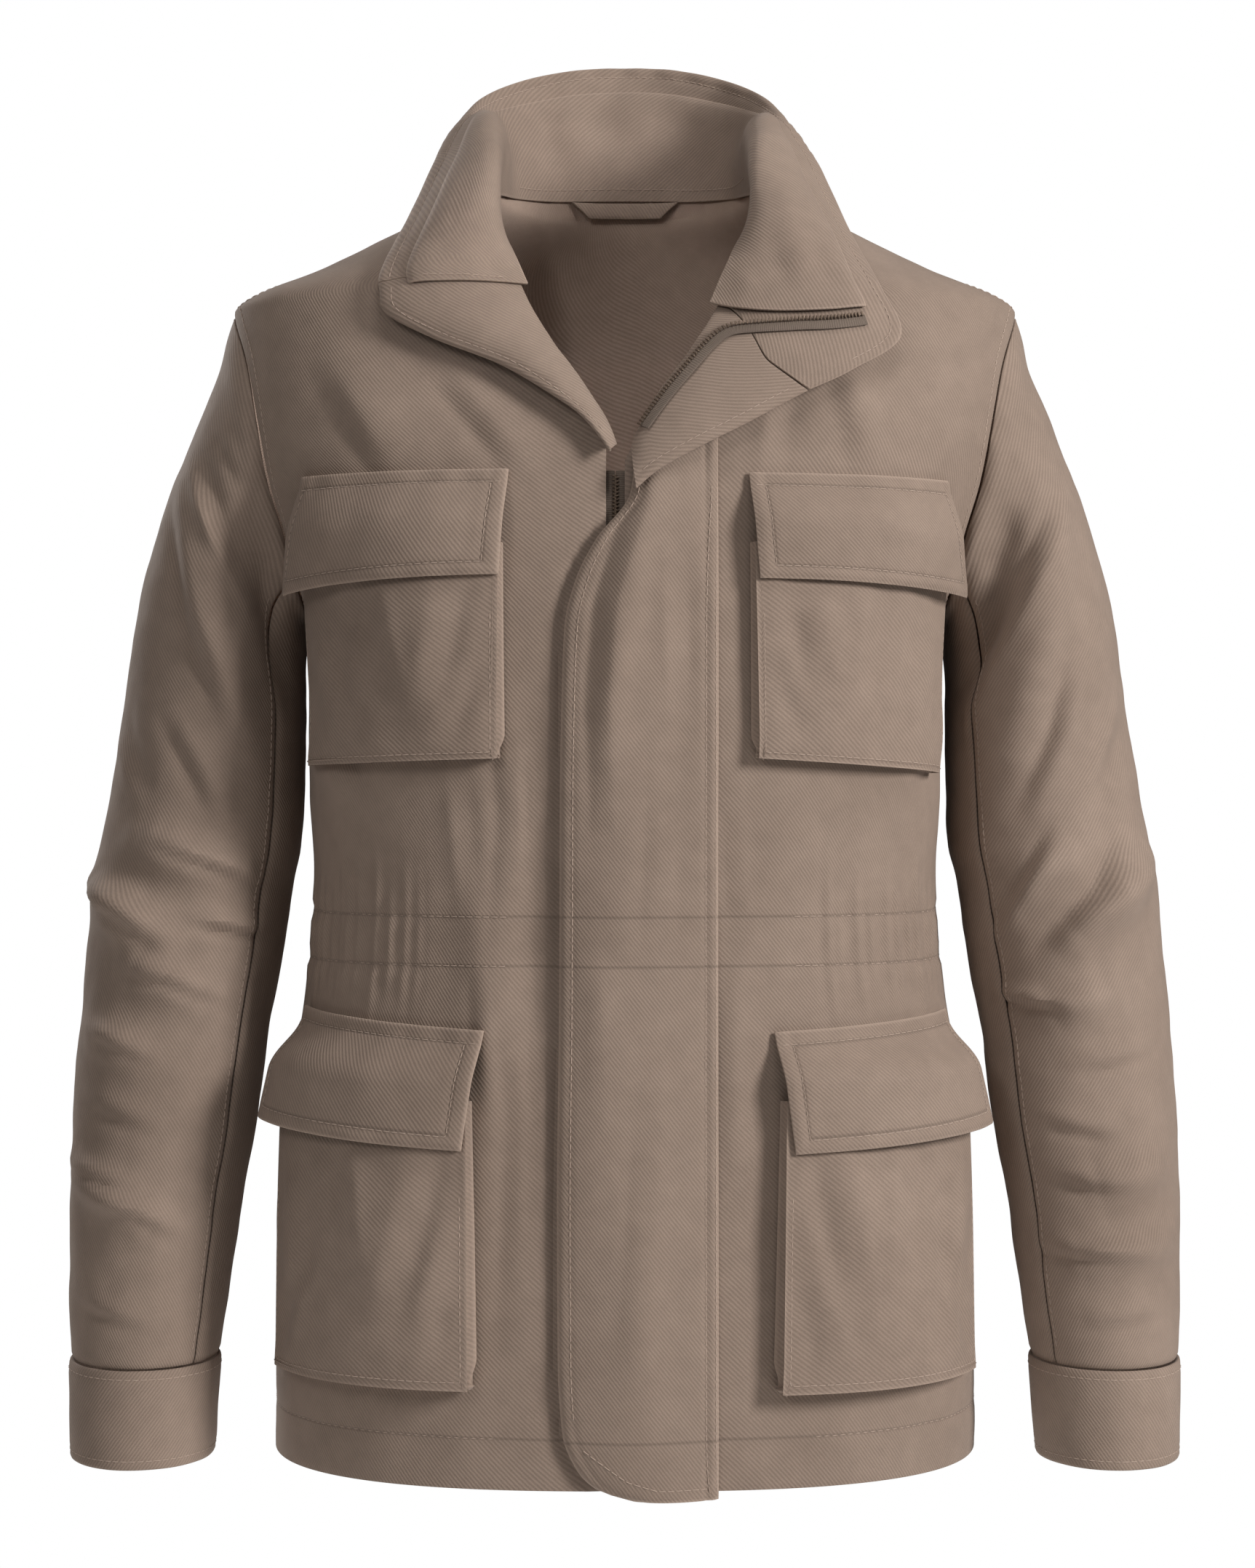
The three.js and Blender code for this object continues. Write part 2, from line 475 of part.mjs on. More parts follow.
function frontPanel(side) {
  const face = -1;
  const edge = side * ZIP_LINE + ZIP_HALF_GAP;
  const innerEdge = (z) => (z > BREAK ? Math.max(edge, along(NECKLINE, "x", z)) : edge);
  const even = span(FRONT_COLUMNS);
  const rows = [];
  for (const turn of ARMHOLE_TURNS) {
    const v = turn / 180;
    if (turn === 0) {
      rows.push(even.map((u) => ({ ...ridgeCell(side, SHOULDER_END * u, face), u })));
      continue;
    }
    const outerZ = armholeHeight(turn);
    const innerZ = ARMPIT * Math.pow(v, FRONT_SAG);
    const inner = { x: innerEdge(innerZ), z: innerZ };
    const outer = { x: along(ARMHOLE, "x", outerZ), z: outerZ };
    const row = trunkRow(side, inner, outer, even, 1 - v);
    row[row.length - 1] = { ...armholeCell(side, outerZ, face), u: 1 };
    rows.push(row);
  }
  const sideSeam = (z) => along(SECTIONS, "half", z);
  const plainRow = (z) =>
    trunkRow(side, { x: edge, z }, { x: sideSeam(z), z }, even, 0).map((cell) => offSeam(cell, face));
  rows.push(rows.pop().map((cell) => offSeam(cell, face)));
  LOWER_ROWS.forEach((z) => rows.push(plainRow(z)));
  const fine = [
    ...span(3).map((t) => t * FRONT_GATHER_START),
    ...span(2 * FRONT_GATHERS).slice(1).map((t) => mix(FRONT_GATHER_START, 1, t)),
  ];
  for (const z of GATHERED_ROWS)
    rows.push(
      fine.map((u) => {
        const x = mix(edge, sideSeam(z), roundShare(u));
        const turn = ((u - FRONT_GATHER_START) / (1 - FRONT_GATHER_START)) * FRONT_GATHERS + 0.5;
        const rise = u > FRONT_GATHER_START && u < 1 ? gather(turn, z) : 0;
        return { ...offSeam(trunk(side * x, z, face, rise), face), u };
      }),
    );
  SKIRT_ROWS.forEach((z) => rows.push(plainRow(z)));
  add("trunk", "front_" + sideName(side), clothWall(rows, CLOTH));
}

// A point on the line of the shoulder, moved off it by half a seam's gap.
function ridgeCell(side, z, face) {
  const cell = trunk(side * along(SECTIONS, "half", z), z, face);
  cell.p.y = face * SEAM_HALF;
  return cell;
}

// Points on the side seam are moved off it by half a seam's gap.
function offSeam(cell, face) {
  if (Math.abs(cell.p.y) < 1) cell.p.y = face * SEAM_HALF;
  return cell;
}

function backPanel() {
  const face = 1;
  const rows = [];
  const across = span(BACK_COLUMNS).map((u) => u * 2 - 1);
  for (const turn of ARMHOLE_TURNS) {
    const v = turn / 180;
    const outerZ = armholeHeight(turn);
    const middleZ = ARMPIT * Math.pow(v, BACK_SAG);
    const lowX = along(ARMHOLE, "x", outerZ);
    rows.push(
      across.map((u) => {
        const side = Math.sign(u) || 1;
        const s = Math.abs(u);
        const onNeck = s <= NECK_SHARE;
        const t = onNeck ? s / NECK_SHARE : (s - NECK_SHARE) / (1 - NECK_SHARE);
        const neckX = NECK_HALF * Math.sin((t * Math.PI) / 2);
        const topX = onNeck ? neckX : along(SECTIONS, "half", mix(0, SHOULDER_END, t));
        const neckZ = NECK_RISE * Math.pow(Math.cos((t * Math.PI) / 2), NECK_ROUND);
        const topZ = onNeck ? neckZ : SHOULDER_END * t;
        if (turn === 0) {
          if (!onNeck) return { ...ridgeCell(side, topZ, face), u: (u + 1) / 2 };
          const cell = trunk(side * topX, topZ, face);
          cell.p.y = Math.max(cell.p.y, SEAM_HALF * 2);
          return { ...cell, u: (u + 1) / 2 };
        }
        if (s === 1) return { ...armholeCell(side, outerZ, face), u: (u + 1) / 2 };
        const flatX = lowX * roundShare(s);
        const x = mix(topX, flatX, v);
        const z = mix(topZ, mix(middleZ, outerZ, s), (ease(v) + v) / 2);
        return { ...trunk(side * x, z, face), u: (u + 1) / 2 };
      }),
    );
  }
  const sideSeam = (z) => along(SECTIONS, "half", z);
  const rowAt = (z, shares, riseAt) =>
    shares.map((u) => {
      const turn = u * 2 - 1;
      const x = sideSeam(z) * Math.sign(turn) * roundShare(Math.abs(turn));
      return { ...offSeam(trunk(x, z, face, riseAt(u)), face), u };
    });
  const even = span(BACK_COLUMNS);
  rows[rows.length - 1] = rowAt(ARMPIT, even, () => 0);
  LOWER_ROWS.forEach((z) => rows.push(rowAt(z, even, () => 0)));
  const fine = span(2 * BACK_GATHERS);
  for (const z of GATHERED_ROWS)
    rows.push(rowAt(z, fine, (u) => (u > 0 && u < 1 ? gather(u * BACK_GATHERS, z) : 0)));
  SKIRT_ROWS.forEach((z) => rows.push(rowAt(z, even, () => 0)));
  add("trunk", "back", clothWall(rows, CLOTH));
}

frontPanel(-1);
frontPanel(1);
backPanel();

// Sleeves

function sleeveTube(side, turn, z) {
  const outer = along(SLEEVE, "outer", z);
  const inner = along(SLEEVE, "inner", z);
  const angle = (turn * Math.PI) / 180;
  const x = (outer + inner) / 2 + ((outer - inner) / 2) * Math.cos(angle);
  const y = along(SLEEVE, "middle", z) - along(SLEEVE, "deep", z) * Math.sin(angle);
  return new THREE.Vector3(side * x, y, z);
}

function armholePoint(side, turn) {
  const face = Math.sin((turn * Math.PI) / 180) >= 0 ? -1 : 1;
  const cell = armholeCell(side, armholeHeight(turn), face);
  cell.p.x += side * GAP * 1.5;
  return cell;
}

// down: 0 at the armhole, 1 where the plain tube starts, 2 at the cuff's seam.
function sleevePlace(side, turn, down) {
  const ring = armholePoint(side, turn).p;
  if (down >= 1) return sleeveTube(side, turn, mix(SLEEVE_HEAD_FOOT, CUFF_TOP, down - 1));
  const z = mix(ring.z, SLEEVE_HEAD_FOOT, down);
  const tube = sleeveTube(side, turn, z);
  const share = 1 - Math.pow(1 - down, 3);
  return new THREE.Vector3(mix(ring.x, tube.x, share), mix(ring.y, tube.y, share), z);
}

function sleeveCell(side, turn, down) {
  if (down === 0) return armholePoint(side, turn > 180 ? turn - 360 : turn);
  const step = 0.02; // for slopes
  const p = sleevePlace(side, turn, down);
  const round = sleevePlace(side, turn + 2, down).sub(sleevePlace(side, turn - 2, down));
  const length = sleevePlace(side, turn, Math.min(2, down + step)).sub(sleevePlace(side, turn, down - step));
  const n = round.cross(length).multiplyScalar(side).normalize();
  const outwards = p.clone().sub(sleeveTube(side, turn + 180, p.z));
  if (n.dot(outwards) < 0) n.negate();
  let rise = 0;
  for (const f of SLEEVE_FOLDS) {
    if (f.side !== side) continue;
    const reach = (SLEEVE_RADIUS * Math.PI) / 180;
    rise += foldAt(f, turn * reach, p.z, f.turn0 * reach, f.z0, f.turn1 * reach, f.z1);
  }
  rise *= ease(Math.min(down / 0.4, (2 - down) / 0.12));
  if (turn > UNDERARM[0] && turn < UNDERARM[1]) rise = Math.min(rise, 0);
  return { p: p.addScaledVector(n, rise), n };
}

const HEAD_ROWS = 7;
const ARM_ROWS = 13;
const SEAM_TURN = 0.3; // degrees that keep a seam's gap
// turns: the armhole's points along this piece. from, to: its seams further down the arm.
function sleevePiece(side, turns, from, to, name) {
  const downs = [
    ...span(HEAD_ROWS).map((t) => Math.pow(t, 1.15)),
    ...span(ARM_ROWS).slice(1).map((t) => 1 + t),
  ];
  const first = turns[0];
  const last = turns[turns.length - 1];
  const rows = downs.map((down) =>
    turns.map((turn) => {
      const u = (turn - first) / (last - first);
      const lower = mix(from, to, u);
      const seamGap = SEAM_TURN * (1 - 2 * u);
      return { ...sleeveCell(side, mix(turn, lower, Math.min(1, down)) + seamGap, down), u };
    }),
  );
  add("sleeves", name + "_" + sideName(side), clothWall(rows, CLOTH));
}

function cuff(side) {
  const columns = 16;
  const rows = span(2).map((v) =>
    span(columns).slice(0, -1).map((u) => {
      const z = mix(CUFF_TOP - SEAM_HALF * 3, CUFF_FOOT, v);
      const p = sleeveTube(side, u * 360, z);
      const middle = sleeveTube(side, u * 360 + 180, z).add(p).multiplyScalar(0.5);
      const n = p.clone().sub(middle).normalize();
      return { p: p.addScaledVector(n, CUFF_STAND), n, u };
    }),
  );
  add("sleeves", "cuff_" + sideName(side), clothWall(rows, DOUBLE_CLOTH, true));
}

const frontTurns = ARMHOLE_TURNS.filter((turn) => turn <= HEAD_SEAM);
const headTurns = [...frontTurns.slice(1).reverse().map((turn) => -turn), ...frontTurns];
const lowTurns = ARMHOLE_TURNS.filter((turn) => turn >= HEAD_SEAM);
const underTurns = [...lowTurns, ...lowTurns.slice(0, -1).reverse().map((turn) => 360 - turn)];
for (const side of [-1, 1]) {
  sleevePiece(side, headTurns, BACK_SLEEVE_SEAM - 360, FRONT_SLEEVE_SEAM, "top_sleeve");
  sleevePiece(side, underTurns, FRONT_SLEEVE_SEAM, BACK_SLEEVE_SEAM, "under_sleeve");
  cuff(side);
}

// Collar and lapels

// The three rails of the neck table, smoothed between its rows.
const rail = (pointOf) => NECK.map(pointOf);
const rails = {
  seam: rail((row) => trunk(row.nx, row.nz, row.face, row.lift).p),
  roll: rail((row) => new THREE.Vector3(row.bx, row.by, row.bz)),
  edge: rail((row) => new THREE.Vector3(row.ex, row.ey, row.ez)),
};
function railAt(points, row) {
  const i = Math.min(points.length - 2, Math.max(0, Math.floor(row)));
  const t = row - i;
  const at = (k) => points[Math.min(points.length - 1, Math.max(0, k))];
  const spline = (a, b, c, d) =>
    0.5 * (2 * b + (c - a) * t + (2 * a - 5 * b + 4 * c - d) * t * t + (3 * b - a - 3 * c + d) * t * t * t);
  return new THREE.Vector3(
    ...["x", "y", "z"].map((k) => spline(at(i - 1)[k], at(i)[k], at(i + 1)[k], at(i + 2)[k])),
  );
}

function neckPlace(row, share) {
  const seam = railAt(rails.seam, row);
  const roll = railAt(rails.roll, row);
  const edge = railAt(rails.edge, row);
  return seam
    .multiplyScalar((1 - share) * (1 - share))
    .addScaledVector(roll, 2 * share * (1 - share))
    .addScaledVector(edge, share * share);
}

// n points to the side that shows at the neck.
function neckCell(row, share, out = 0) {
  const p = neckPlace(row, share);
  const round = neckPlace(row + 0.05, share).sub(neckPlace(row - 0.05, share));
  const high = share > 0.5 ? share : share + 0.02;
  const up = neckPlace(row, high).sub(neckPlace(row, high - 0.02));
  const n = round.cross(up).normalize();
  return { p: p.addScaledVector(n, out), n };
}

// A piece of the neck between two seams, which are given as rows of the table at each share from fold to edge.
// The stations are the rows of the table where its columns run.
function neckPiece(name, fromRow, toRow, shares, stations, out, lift = 0) {
  const rows = shares.map((share) => {
    const places = [fromRow(share), ...stations, toRow(share)];
    return places.map((row, i) => {
      const off = out + lift * ease(row - WING_START);
      return { ...neckCell(row, share, off), u: i / (places.length - 1) };
    });
  });
  add("neck", name, clothWall(rows, CLOTH));
}
const stationsBetween = (from, to, step) =>
  Array.from({ length: Math.round((to - from) / step) + 1 }, (_, i) => from + i * step);

const rightSeam = (share) => mix(RIGHT_COLLAR_SEAM, RIGHT_SEAM_EDGE, ease(share * 1.6));
const SEAM_ROWS = 0.02; // rows that keep a seam's gap
const WING_SHARES = [0, 0.22, 0.45, 0.63, INNER_COLLAR_HEIGHT, 1];
const collarStations = stationsBetween(7, 22.5, 0.5);
neckPiece(
  "collar_outer",
  () => LEFT_COLLAR_SEAM + SEAM_ROWS,
  (share) => rightSeam(share) - SEAM_ROWS,
  WING_SHARES, [...collarStations, 23, 23.5, 24.3], 0,
);
neckPiece("facing_left", () => 0, () => LEFT_COLLAR_SEAM - SEAM_ROWS, WING_SHARES, stationsBetween(1, 6, 1), 0);
neckPiece(
  "facing_right",
  (share) => rightSeam(share) + SEAM_ROWS,
  () => NECK.length - 1,
  WING_SHARES, stationsBetween(26.2, 29.2, 1), 0,
);
neckPiece(
  "collar_inner",
  (share) => INNER_COLLAR_LEFT + 0.5 * share,
  (share) => mix(INNER_COLLAR_RIGHT, INNER_COLLAR_RIGHT_TOP, share / INNER_COLLAR_HEIGHT),
  [0.03, ...WING_SHARES.slice(1, -1)], [LEFT_COLLAR_SEAM, ...collarStations, 23], INNER_OUT, WING_LIFT,
);

// Zip
const TAPE_TOP = -176;
const TAPE_DEPTH = 1.4; // behind the inner face of the fronts
const TAPE_SPLIT = 0.35; // from the zip's line to each tape
const LAPEL_TAPE_HALF = 3;
const TAPE_ROWS = [
  TAPE_TOP, -205, ARMPIT,
  ...LOWER_ROWS, ...GATHERED_ROWS, ...SKIRT_ROWS.slice(0, -1), HEM + 6,
];

function lapelZip() {
  const rows = LAPEL_ZIP.map((place, i) => {
    const before = LAPEL_ZIP[Math.max(0, i - 1)];
    const after = LAPEL_ZIP[Math.min(LAPEL_ZIP.length - 1, i + 1)];
    const a = neckCell(place.row, place.share, TAPE + LIE);
    const path = neckPlace(after.row, after.share).sub(neckPlace(before.row, before.share)).normalize();
    const across = a.n.clone().cross(path).normalize();
    return [-1, 1].map((k, u) => ({ p: a.p.clone().addScaledVector(across, k * LAPEL_TAPE_HALF), n: a.n, u }));
  });
  add("fastening", "zip_tape_lapel", clothWall(rows, TAPE), materials.tape);
}
lapelZip();

for (const side of [-1, 1]) {
  const rows = TAPE_ROWS.map((z) =>
    [0, 1].map((u) => {
      const x = ZIP_LINE + side * mix(TAPE_SPLIT, TAPE_WIDTH, u);
      return { ...trunk(x, z, -1, -CLOTH - TAPE_DEPTH), u };
    }),
  );
  add("fastening", "zip_tape_" + sideName(side), clothWall(rows, TAPE), materials.tape);
}

// The storm flap lies on both fronts and stands off over the zip.
function flapCell(x, z) {
  const left = along(FLAP_EDGE, "x", z);
  const u = clamp01((x - left) / (FLAP_SEAM - left));
  const swell = FLAP_STAND * Math.sin(Math.PI * Math.pow(u, 0.8)) * ease((FLAP_STAND_TOP - z) / 60);
  let rise = CLOTH + LIE + mix(FLAP_EDGE_STAND, 0, u) + swell;
  for (const f of FLAP_FOLDS) rise += foldAt(f, x, z, f.x0, f.z0, f.x1, f.z1) * Math.sin(Math.PI * u);
  return trunk(x, z, -1, rise);
}
function stormFlap() {
  const rows = FLAP_HEIGHTS.map((z) => {
    const left = along(FLAP_EDGE, "x", z);
    return span(6).map((u) => ({ ...flapCell(mix(left, FLAP_SEAM, u), z), u }));
  });
  add("fastening", "storm_flap", clothWall(rows, CLOTH));
}
stormFlap();

// Pockets

// x at a share of the way from the edge nearer the zip to the outer edge, even along the cloth.
function pocketX(inner, outer, z, u) {
  const half = along(SECTIONS, "half", z);
  return half * roundShare(mix(roundTurn(inner / half), roundTurn(outer / half), u));
}

// The bag: its front wall and the bellows that joins it to the jacket, as one wall bent round three sides.
const POCKET_COLUMNS = 8;
const POCKET_ROWS = 6;
function bag(data) {
  const { side } = data;
  const rows = [];
  for (let j = 0; j <= POCKET_ROWS + 1; j++) {
    const v = Math.min(1, j / POCKET_ROWS);
    const row = [];
    for (let i = -1; i <= POCKET_COLUMNS + 1; i++) {
      const u = clamp01(i / POCKET_COLUMNS);
      const z = mix(data.top, data.foot - data.footDrop * u, v);
      const x = pocketX(mix(data.inTop, data.inFoot, v), mix(data.outTop, data.outFoot, v), z, u);
      const beside = i < 0 ? -1 : i > POCKET_COLUMNS ? 1 : 0;
      const below = j > POCKET_ROWS;
      const full = ease(mix(0.3, 1.6, v)) * mix(1, 0.75, v);
      const belly = data.belly * Math.sin(Math.PI * mix(0.05, 0.95, u)) * full;
      const face = CLOTH + LIE + data.stand * mix(1, OUTER_STAND, ease(u)) + belly;
      const out = beside || below ? LIE : face;
      const cell = trunk(side * x, z, -1, out);
      if (beside || below) {
        const within = trunk(side * (x - beside * CLOTH), z + (below ? CLOTH : 0), -1, LIE).p;
        cell.n = cell.p.clone().sub(within).normalize();
      }
      row.push({ ...cell, u: (i + 1) / (POCKET_COLUMNS + 2) });
    }
    rows.push(row);
  }
  add("pockets", data.name + "_pocket_" + sideName(side), clothWall(rows, CLOTH));
}

function pocketFlap(data) {
  const { side } = data;
  const cells = grid(3, POCKET_COLUMNS, (u, v) => {
    const z = mix(data.flapTop + data.flapRise * u, data.flapFoot - data.flapDrop * u, v);
    const x = pocketX(mix(data.flapIn, data.flapInFoot, v), mix(data.flapOut, data.flapOutFoot, v), z, u);
    const cover = ease((data.flapTop - z) / (data.flapTop - data.top - 8));
    const over = data.stand + data.belly * Math.sin(Math.PI * u) * 0.9 + CLOTH + FLAP_OVER;
    const lift = FLAP_LIFT * ease((u - 0.5) * 2) * v;
    return trunk(side * x, z, -1, LIE + DOUBLE_CLOTH + over * cover + lift);
  });
  add("pockets", data.name + "_flap_" + sideName(side), clothWall(cells, DOUBLE_CLOTH));
}
POCKETS.forEach(bag);
POCKETS.forEach(pocketFlap);

// Hanger loop, below the back neck seam on the inside
{
  const rows = grid(1, 6, (u, v) => {
    const t = u * 2 - 1;
    const x = t * mix(LOOP_HALF_WIDTH, LOOP_FOOT_HALF_WIDTH, v);
    const z = LOOP_TOP - LOOP_DROP * v;
    const { p } = trunk(x, z, 1, -2 * CLOTH - LOOP_OFF - LOOP_HANG * v);
    return { p, n: new THREE.Vector3(0, -1, 0) };
  });
  add("neck", "hanger_loop", clothWall(rows, CLOTH));
}

// Slider, lying under the storm flap with its tab hanging down
{
  const { p } = trunk(ZIP_LINE, SLIDER.z, -1, 0);
  const outline = new THREE.Shape();
  const half = SLIDER.wide / 2;
  outline.moveTo(-half, 0);
  outline.lineTo(-SLIDER.tabWide / 2, -SLIDER.long);
  outline.lineTo(-SLIDER.tabWide / 2, -SLIDER.long - SLIDER.tabLong);
  outline.lineTo(SLIDER.tabWide / 2, -SLIDER.long - SLIDER.tabLong);
  outline.lineTo(SLIDER.tabWide / 2, -SLIDER.long);
  outline.lineTo(half, 0);
  const geometry = new THREE.ExtrudeGeometry(outline, { depth: SLIDER.deep, bevelEnabled: false });
  geometry.translate(0, 0, -SLIDER.deep / 2);
  geometry.rotateX(Math.PI / 2 - SLIDER.lean);
  geometry.translate(p.x, p.y, p.z);
  geometry.deleteAttribute("uv");
  const mesh = new THREE.Mesh(geometry, materials.metal);
  mesh.name = "zip_slider";
  groups.fastening.add(mesh);
}

export default jacket;
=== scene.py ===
"""A field jacket, worn and hollow, half open at the neck. The camera stands before its front."""
import bpy
import bmesh
import math
import random
from bisect import bisect
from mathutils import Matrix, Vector, noise


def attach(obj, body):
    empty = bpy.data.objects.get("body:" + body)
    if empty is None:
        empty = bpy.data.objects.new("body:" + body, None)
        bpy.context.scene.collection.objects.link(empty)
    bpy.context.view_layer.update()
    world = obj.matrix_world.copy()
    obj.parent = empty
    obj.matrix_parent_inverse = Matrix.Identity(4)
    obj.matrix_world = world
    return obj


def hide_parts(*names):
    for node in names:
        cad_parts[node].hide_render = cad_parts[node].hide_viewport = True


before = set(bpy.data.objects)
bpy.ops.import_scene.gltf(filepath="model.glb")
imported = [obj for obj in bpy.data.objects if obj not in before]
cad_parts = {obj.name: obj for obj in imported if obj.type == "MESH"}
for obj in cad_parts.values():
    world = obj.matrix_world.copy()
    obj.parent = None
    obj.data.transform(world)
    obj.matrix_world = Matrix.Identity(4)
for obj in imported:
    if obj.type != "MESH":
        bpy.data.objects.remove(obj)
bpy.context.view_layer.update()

MM = 0.001
FINE = 1.0

# Cloth, in millimetres
CLOTH = 1.8
DOUBLE_CLOTH = 2.4
TAPE = 0.8
LIE = 0.9  # between a panel and what lies on it

# Heights
SHOULDER_END = -75
ARMPIT = -250
BREAK = -170
HEM = -722
WAIST = -430
WAIST_STITCHES = (-416.5, -443)
HEM_STITCH = -695

# Places across the front
ZIP_LINE = -5
ZIP_HALF_GAP = 5
TAPE_WIDTH = 12
FLAP_SEAM = 50
SHOULDER_HALF = 226
NECK_HALF = 74
NECK_RISE = 13
OVAL_POWER = 2.6


class Column:
    """One column of a table, as a smooth function of height with no overshoot, kept for each millimetre."""

    def __init__(self, heights, values):
        self.top = heights[0]
        spans = list(zip(heights, heights[1:], values, values[1:]))
        slopes = [(low_value - high_value) / (low - high) for high, low, high_value, low_value in spans]
        inner = [0 if a * b <= 0 else 2 * a * b / (a + b) for a, b in zip(slopes, slopes[1:])]
        tangents = [slopes[0], *inner, slopes[-1]]
        self.values = [values[0]]
        for i, (high, low, high_value, low_value) in enumerate(spans):
            step = low - high
            for z in range(high - 1, low - 1, -1):
                t = (z - high) / step
                self.values.append(
                    (2 * t**3 - 3 * t**2 + 1) * high_value + (t**3 - 2 * t**2 + t) * step * tangents[i]
                    + (3 * t**2 - 2 * t**3) * low_value + (t**3 - t**2) * step * tangents[i + 1])

    def __call__(self, z):
        place = min(max(self.top - z, 0), len(self.values) - 1.001)
        i = int(place)
        return self.values[i] + (self.values[i + 1] - self.values[i]) * (place - i)


def columns(names, *rows):
    """A table by rows, as a dictionary of its columns."""
    heights = [row[0] for row in rows]
    return {name: Column(heights, [row[k + 1] for row in rows]) for k, name in enumerate(names)}


# The trunk's sections. half: half the width. front, back: depth before and behind the side seams.
SECTION = columns(
    ("half", "front", "back"),
    (13, 74, 62, 80), (0, 74, 62, 82), (-25, 124.7, 76, 96), (-50, 175.3, 89, 107), (-75, 226, 100, 115),
    (-100, 227, 109, 120), (-125, 227, 116, 124), (-150, 224, 122, 126), (-178, 214, 127, 127),
    (-206, 201, 131, 127), (-230, 189.5, 133, 126), (-250, 183, 134, 125), (-300, 182, 134, 120),
    (-350, 181.5, 131, 113), (-405, 179, 128, 109), (-431, 180, 128, 110), (-456, 183, 129, 113),
    (-481, 187, 130, 117), (-507, 193, 131, 121), (-540, 198, 133, 124), (-600, 200.5, 135, 126),
    (-722, 201, 137, 127),
)
ARMHOLE = columns(
    ("x",),
    (-75, 226), (-110, 213), (-147, 205), (-178, 199), (-206, 191), (-230, 186.5), (-250, 183),
)
NECKLINE = columns(
    ("x",),
    (0, 74), (-10, 73.6), (-20, 72.8), (-40, 68.5), (-62, 61), (-92, 47.5), (-110, 36), (-130, 21.5),
    (-150, 9.5), (-170, 1),
)
SLEEVE = columns(
    ("outer", "inner", "middle", "deep"),
    (-75, 226, 186.5, 2, 52), (-85, 236.4, 186.5, 2, 56), (-100, 245, 186.5, 2, 58),
    (-125, 256, 186.5, 2, 61), (-151, 264, 186.5, 2, 63), (-202, 276, 186.5, 3, 64),
    (-253, 285, 186.5, 4, 63), (-303, 292, 187, 5, 61), (-354, 300, 187.5, 4, 60), (-380, 305, 189, 2, 60),
    (-405, 309.5, 194, 0, 59), (-431, 310.5, 197, -4, 58), (-481, 313.5, 205, -12, 56),
    (-532, 316, 211, -21, 54), (-583, 316, 219, -30, 51), (-634, 314.5, 225, -39, 48),
    (-667, 312, 229.5, -46, 45), (-721, 309.5, 232.5, -55, 42),
)
FLAP_EDGE = columns(
    ("x",),
    (-112, 38), (-130, 24), (-150, 12.5), (-168, 6), (-190, 3), (-215, -15.5), (-236, -26), (-261, -32),
    (-300, -33.5), (-353, -34.5), (-470, -35), (-567, -36), (-654, -35.5), (-691, -33), (-709, -26),
    (-720, -15), (-726, 3),
)

# Soft folds: face or side, then the two ends, width and rise
TRUNK_FOLDS = (
    (-1, -78, -340, -72, -560, 15, 4), (-1, -52, -300, -50, -620, 12, -3),
    (-1, -150, -120, -118, -165, 16, 3), (-1, 120, -110, 132, -172, 16, 3),
    (-1, 62, -345, 66, -410, 11, -3), (-1, 150, -352, 176, -300, 14, 3),
    (-1, -150, -355, -176, -318, 14, 3), (1, -120, -230, -60, -400, 20, 4),
    (1, 118, -215, 70, -395, 20, 4), (1, -8, -180, 4, -380, 24, -4), (1, -90, -470, -104, -660, 20, 3),
    (1, 76, -470, 92, -690, 20, 3), (1, -6, -470, 2, -640, 18, 3),
)
SLEEVE_FOLDS = (
    (-1, 75, -180, 120, -330, 15, 4), (-1, 95, -165, 150, -290, 12, -4), (-1, 30, -404, 80, -432, 13, 6),
    (-1, 60, -378, 120, -396, 11, 5), (-1, 70, -452, 115, -466, 11, 4), (-1, 35, -485, 85, -498, 10, 3),
    (-1, 30, -560, 100, -588, 11, 4), (-1, 235, -400, 300, -425, 13, 5), (-1, 230, -455, 290, -440, 12, 4),
    (1, 60, -185, 118, -325, 15, 4), (1, 85, -170, 140, -285, 12, -4), (1, 35, -388, 90, -430, 12, 6),
    (1, 80, -380, 125, -410, 11, 4), (1, 75, -462, 110, -472, 11, 4), (1, 45, -558, 95, -566, 12, 4),
    (1, 40, -598, 110, -608, 11, 4), (1, 240, -405, 300, -430, 13, 5), (1, 230, -460, 285, -446, 12, 4),
)
FLAP_FOLDS = ((0, 12, -200, -14, -330, 10, 3), (0, 30, -260, 28, -420, 12, -3), (0, 2, -560, 10, -690, 14, 2))

# Sharper creases, as seen from the front or the back: width, rise, then the points they run through
FRONT_CREASES = (
    (10, 1.6, (-160, -118), (-128, -168)), (10, 1.4, (-96, -118), (-70, -150), (-52, -172)),
    (10, 1.4, (-62, -300), (-56, -362), (-60, -425)), (9, -1.0, (-84, -342), (-78, -405)),
    (11, 1.3, (-58, -445), (-50, -520), (-54, -640)), (8, 0.9, (-73, -450), (-70, -515)),
    (10, 1.3, (120, -118), (134, -168)), (10, -1.2, (92, -130), (86, -172)),
    (9, 1.2, (62, -344), (66, -420)), (9, 1.0, (60, -448), (58, -560)), (9, 1.6, (150, -345), (172, -306)),
    (9, 1.6, (-152, -350), (-172, -312)),
)
BACK_CREASES = (
    (12, 2, (-150, -150), (-110, -250)), (12, 2, (152, -160), (118, -246)),
    (10, 1.8, (-70, -350), (-40, -410)), (10, 1.8, (60, -345), (30, -408)),
    (11, 1.8, (-40, -455), (-46, -560)), (11, 1.6, (36, -455), (44, -575)),
    (10, 1.5, (-130, -455), (-140, -540)), (10, 1.5, (128, -455), (140, -545)),
)
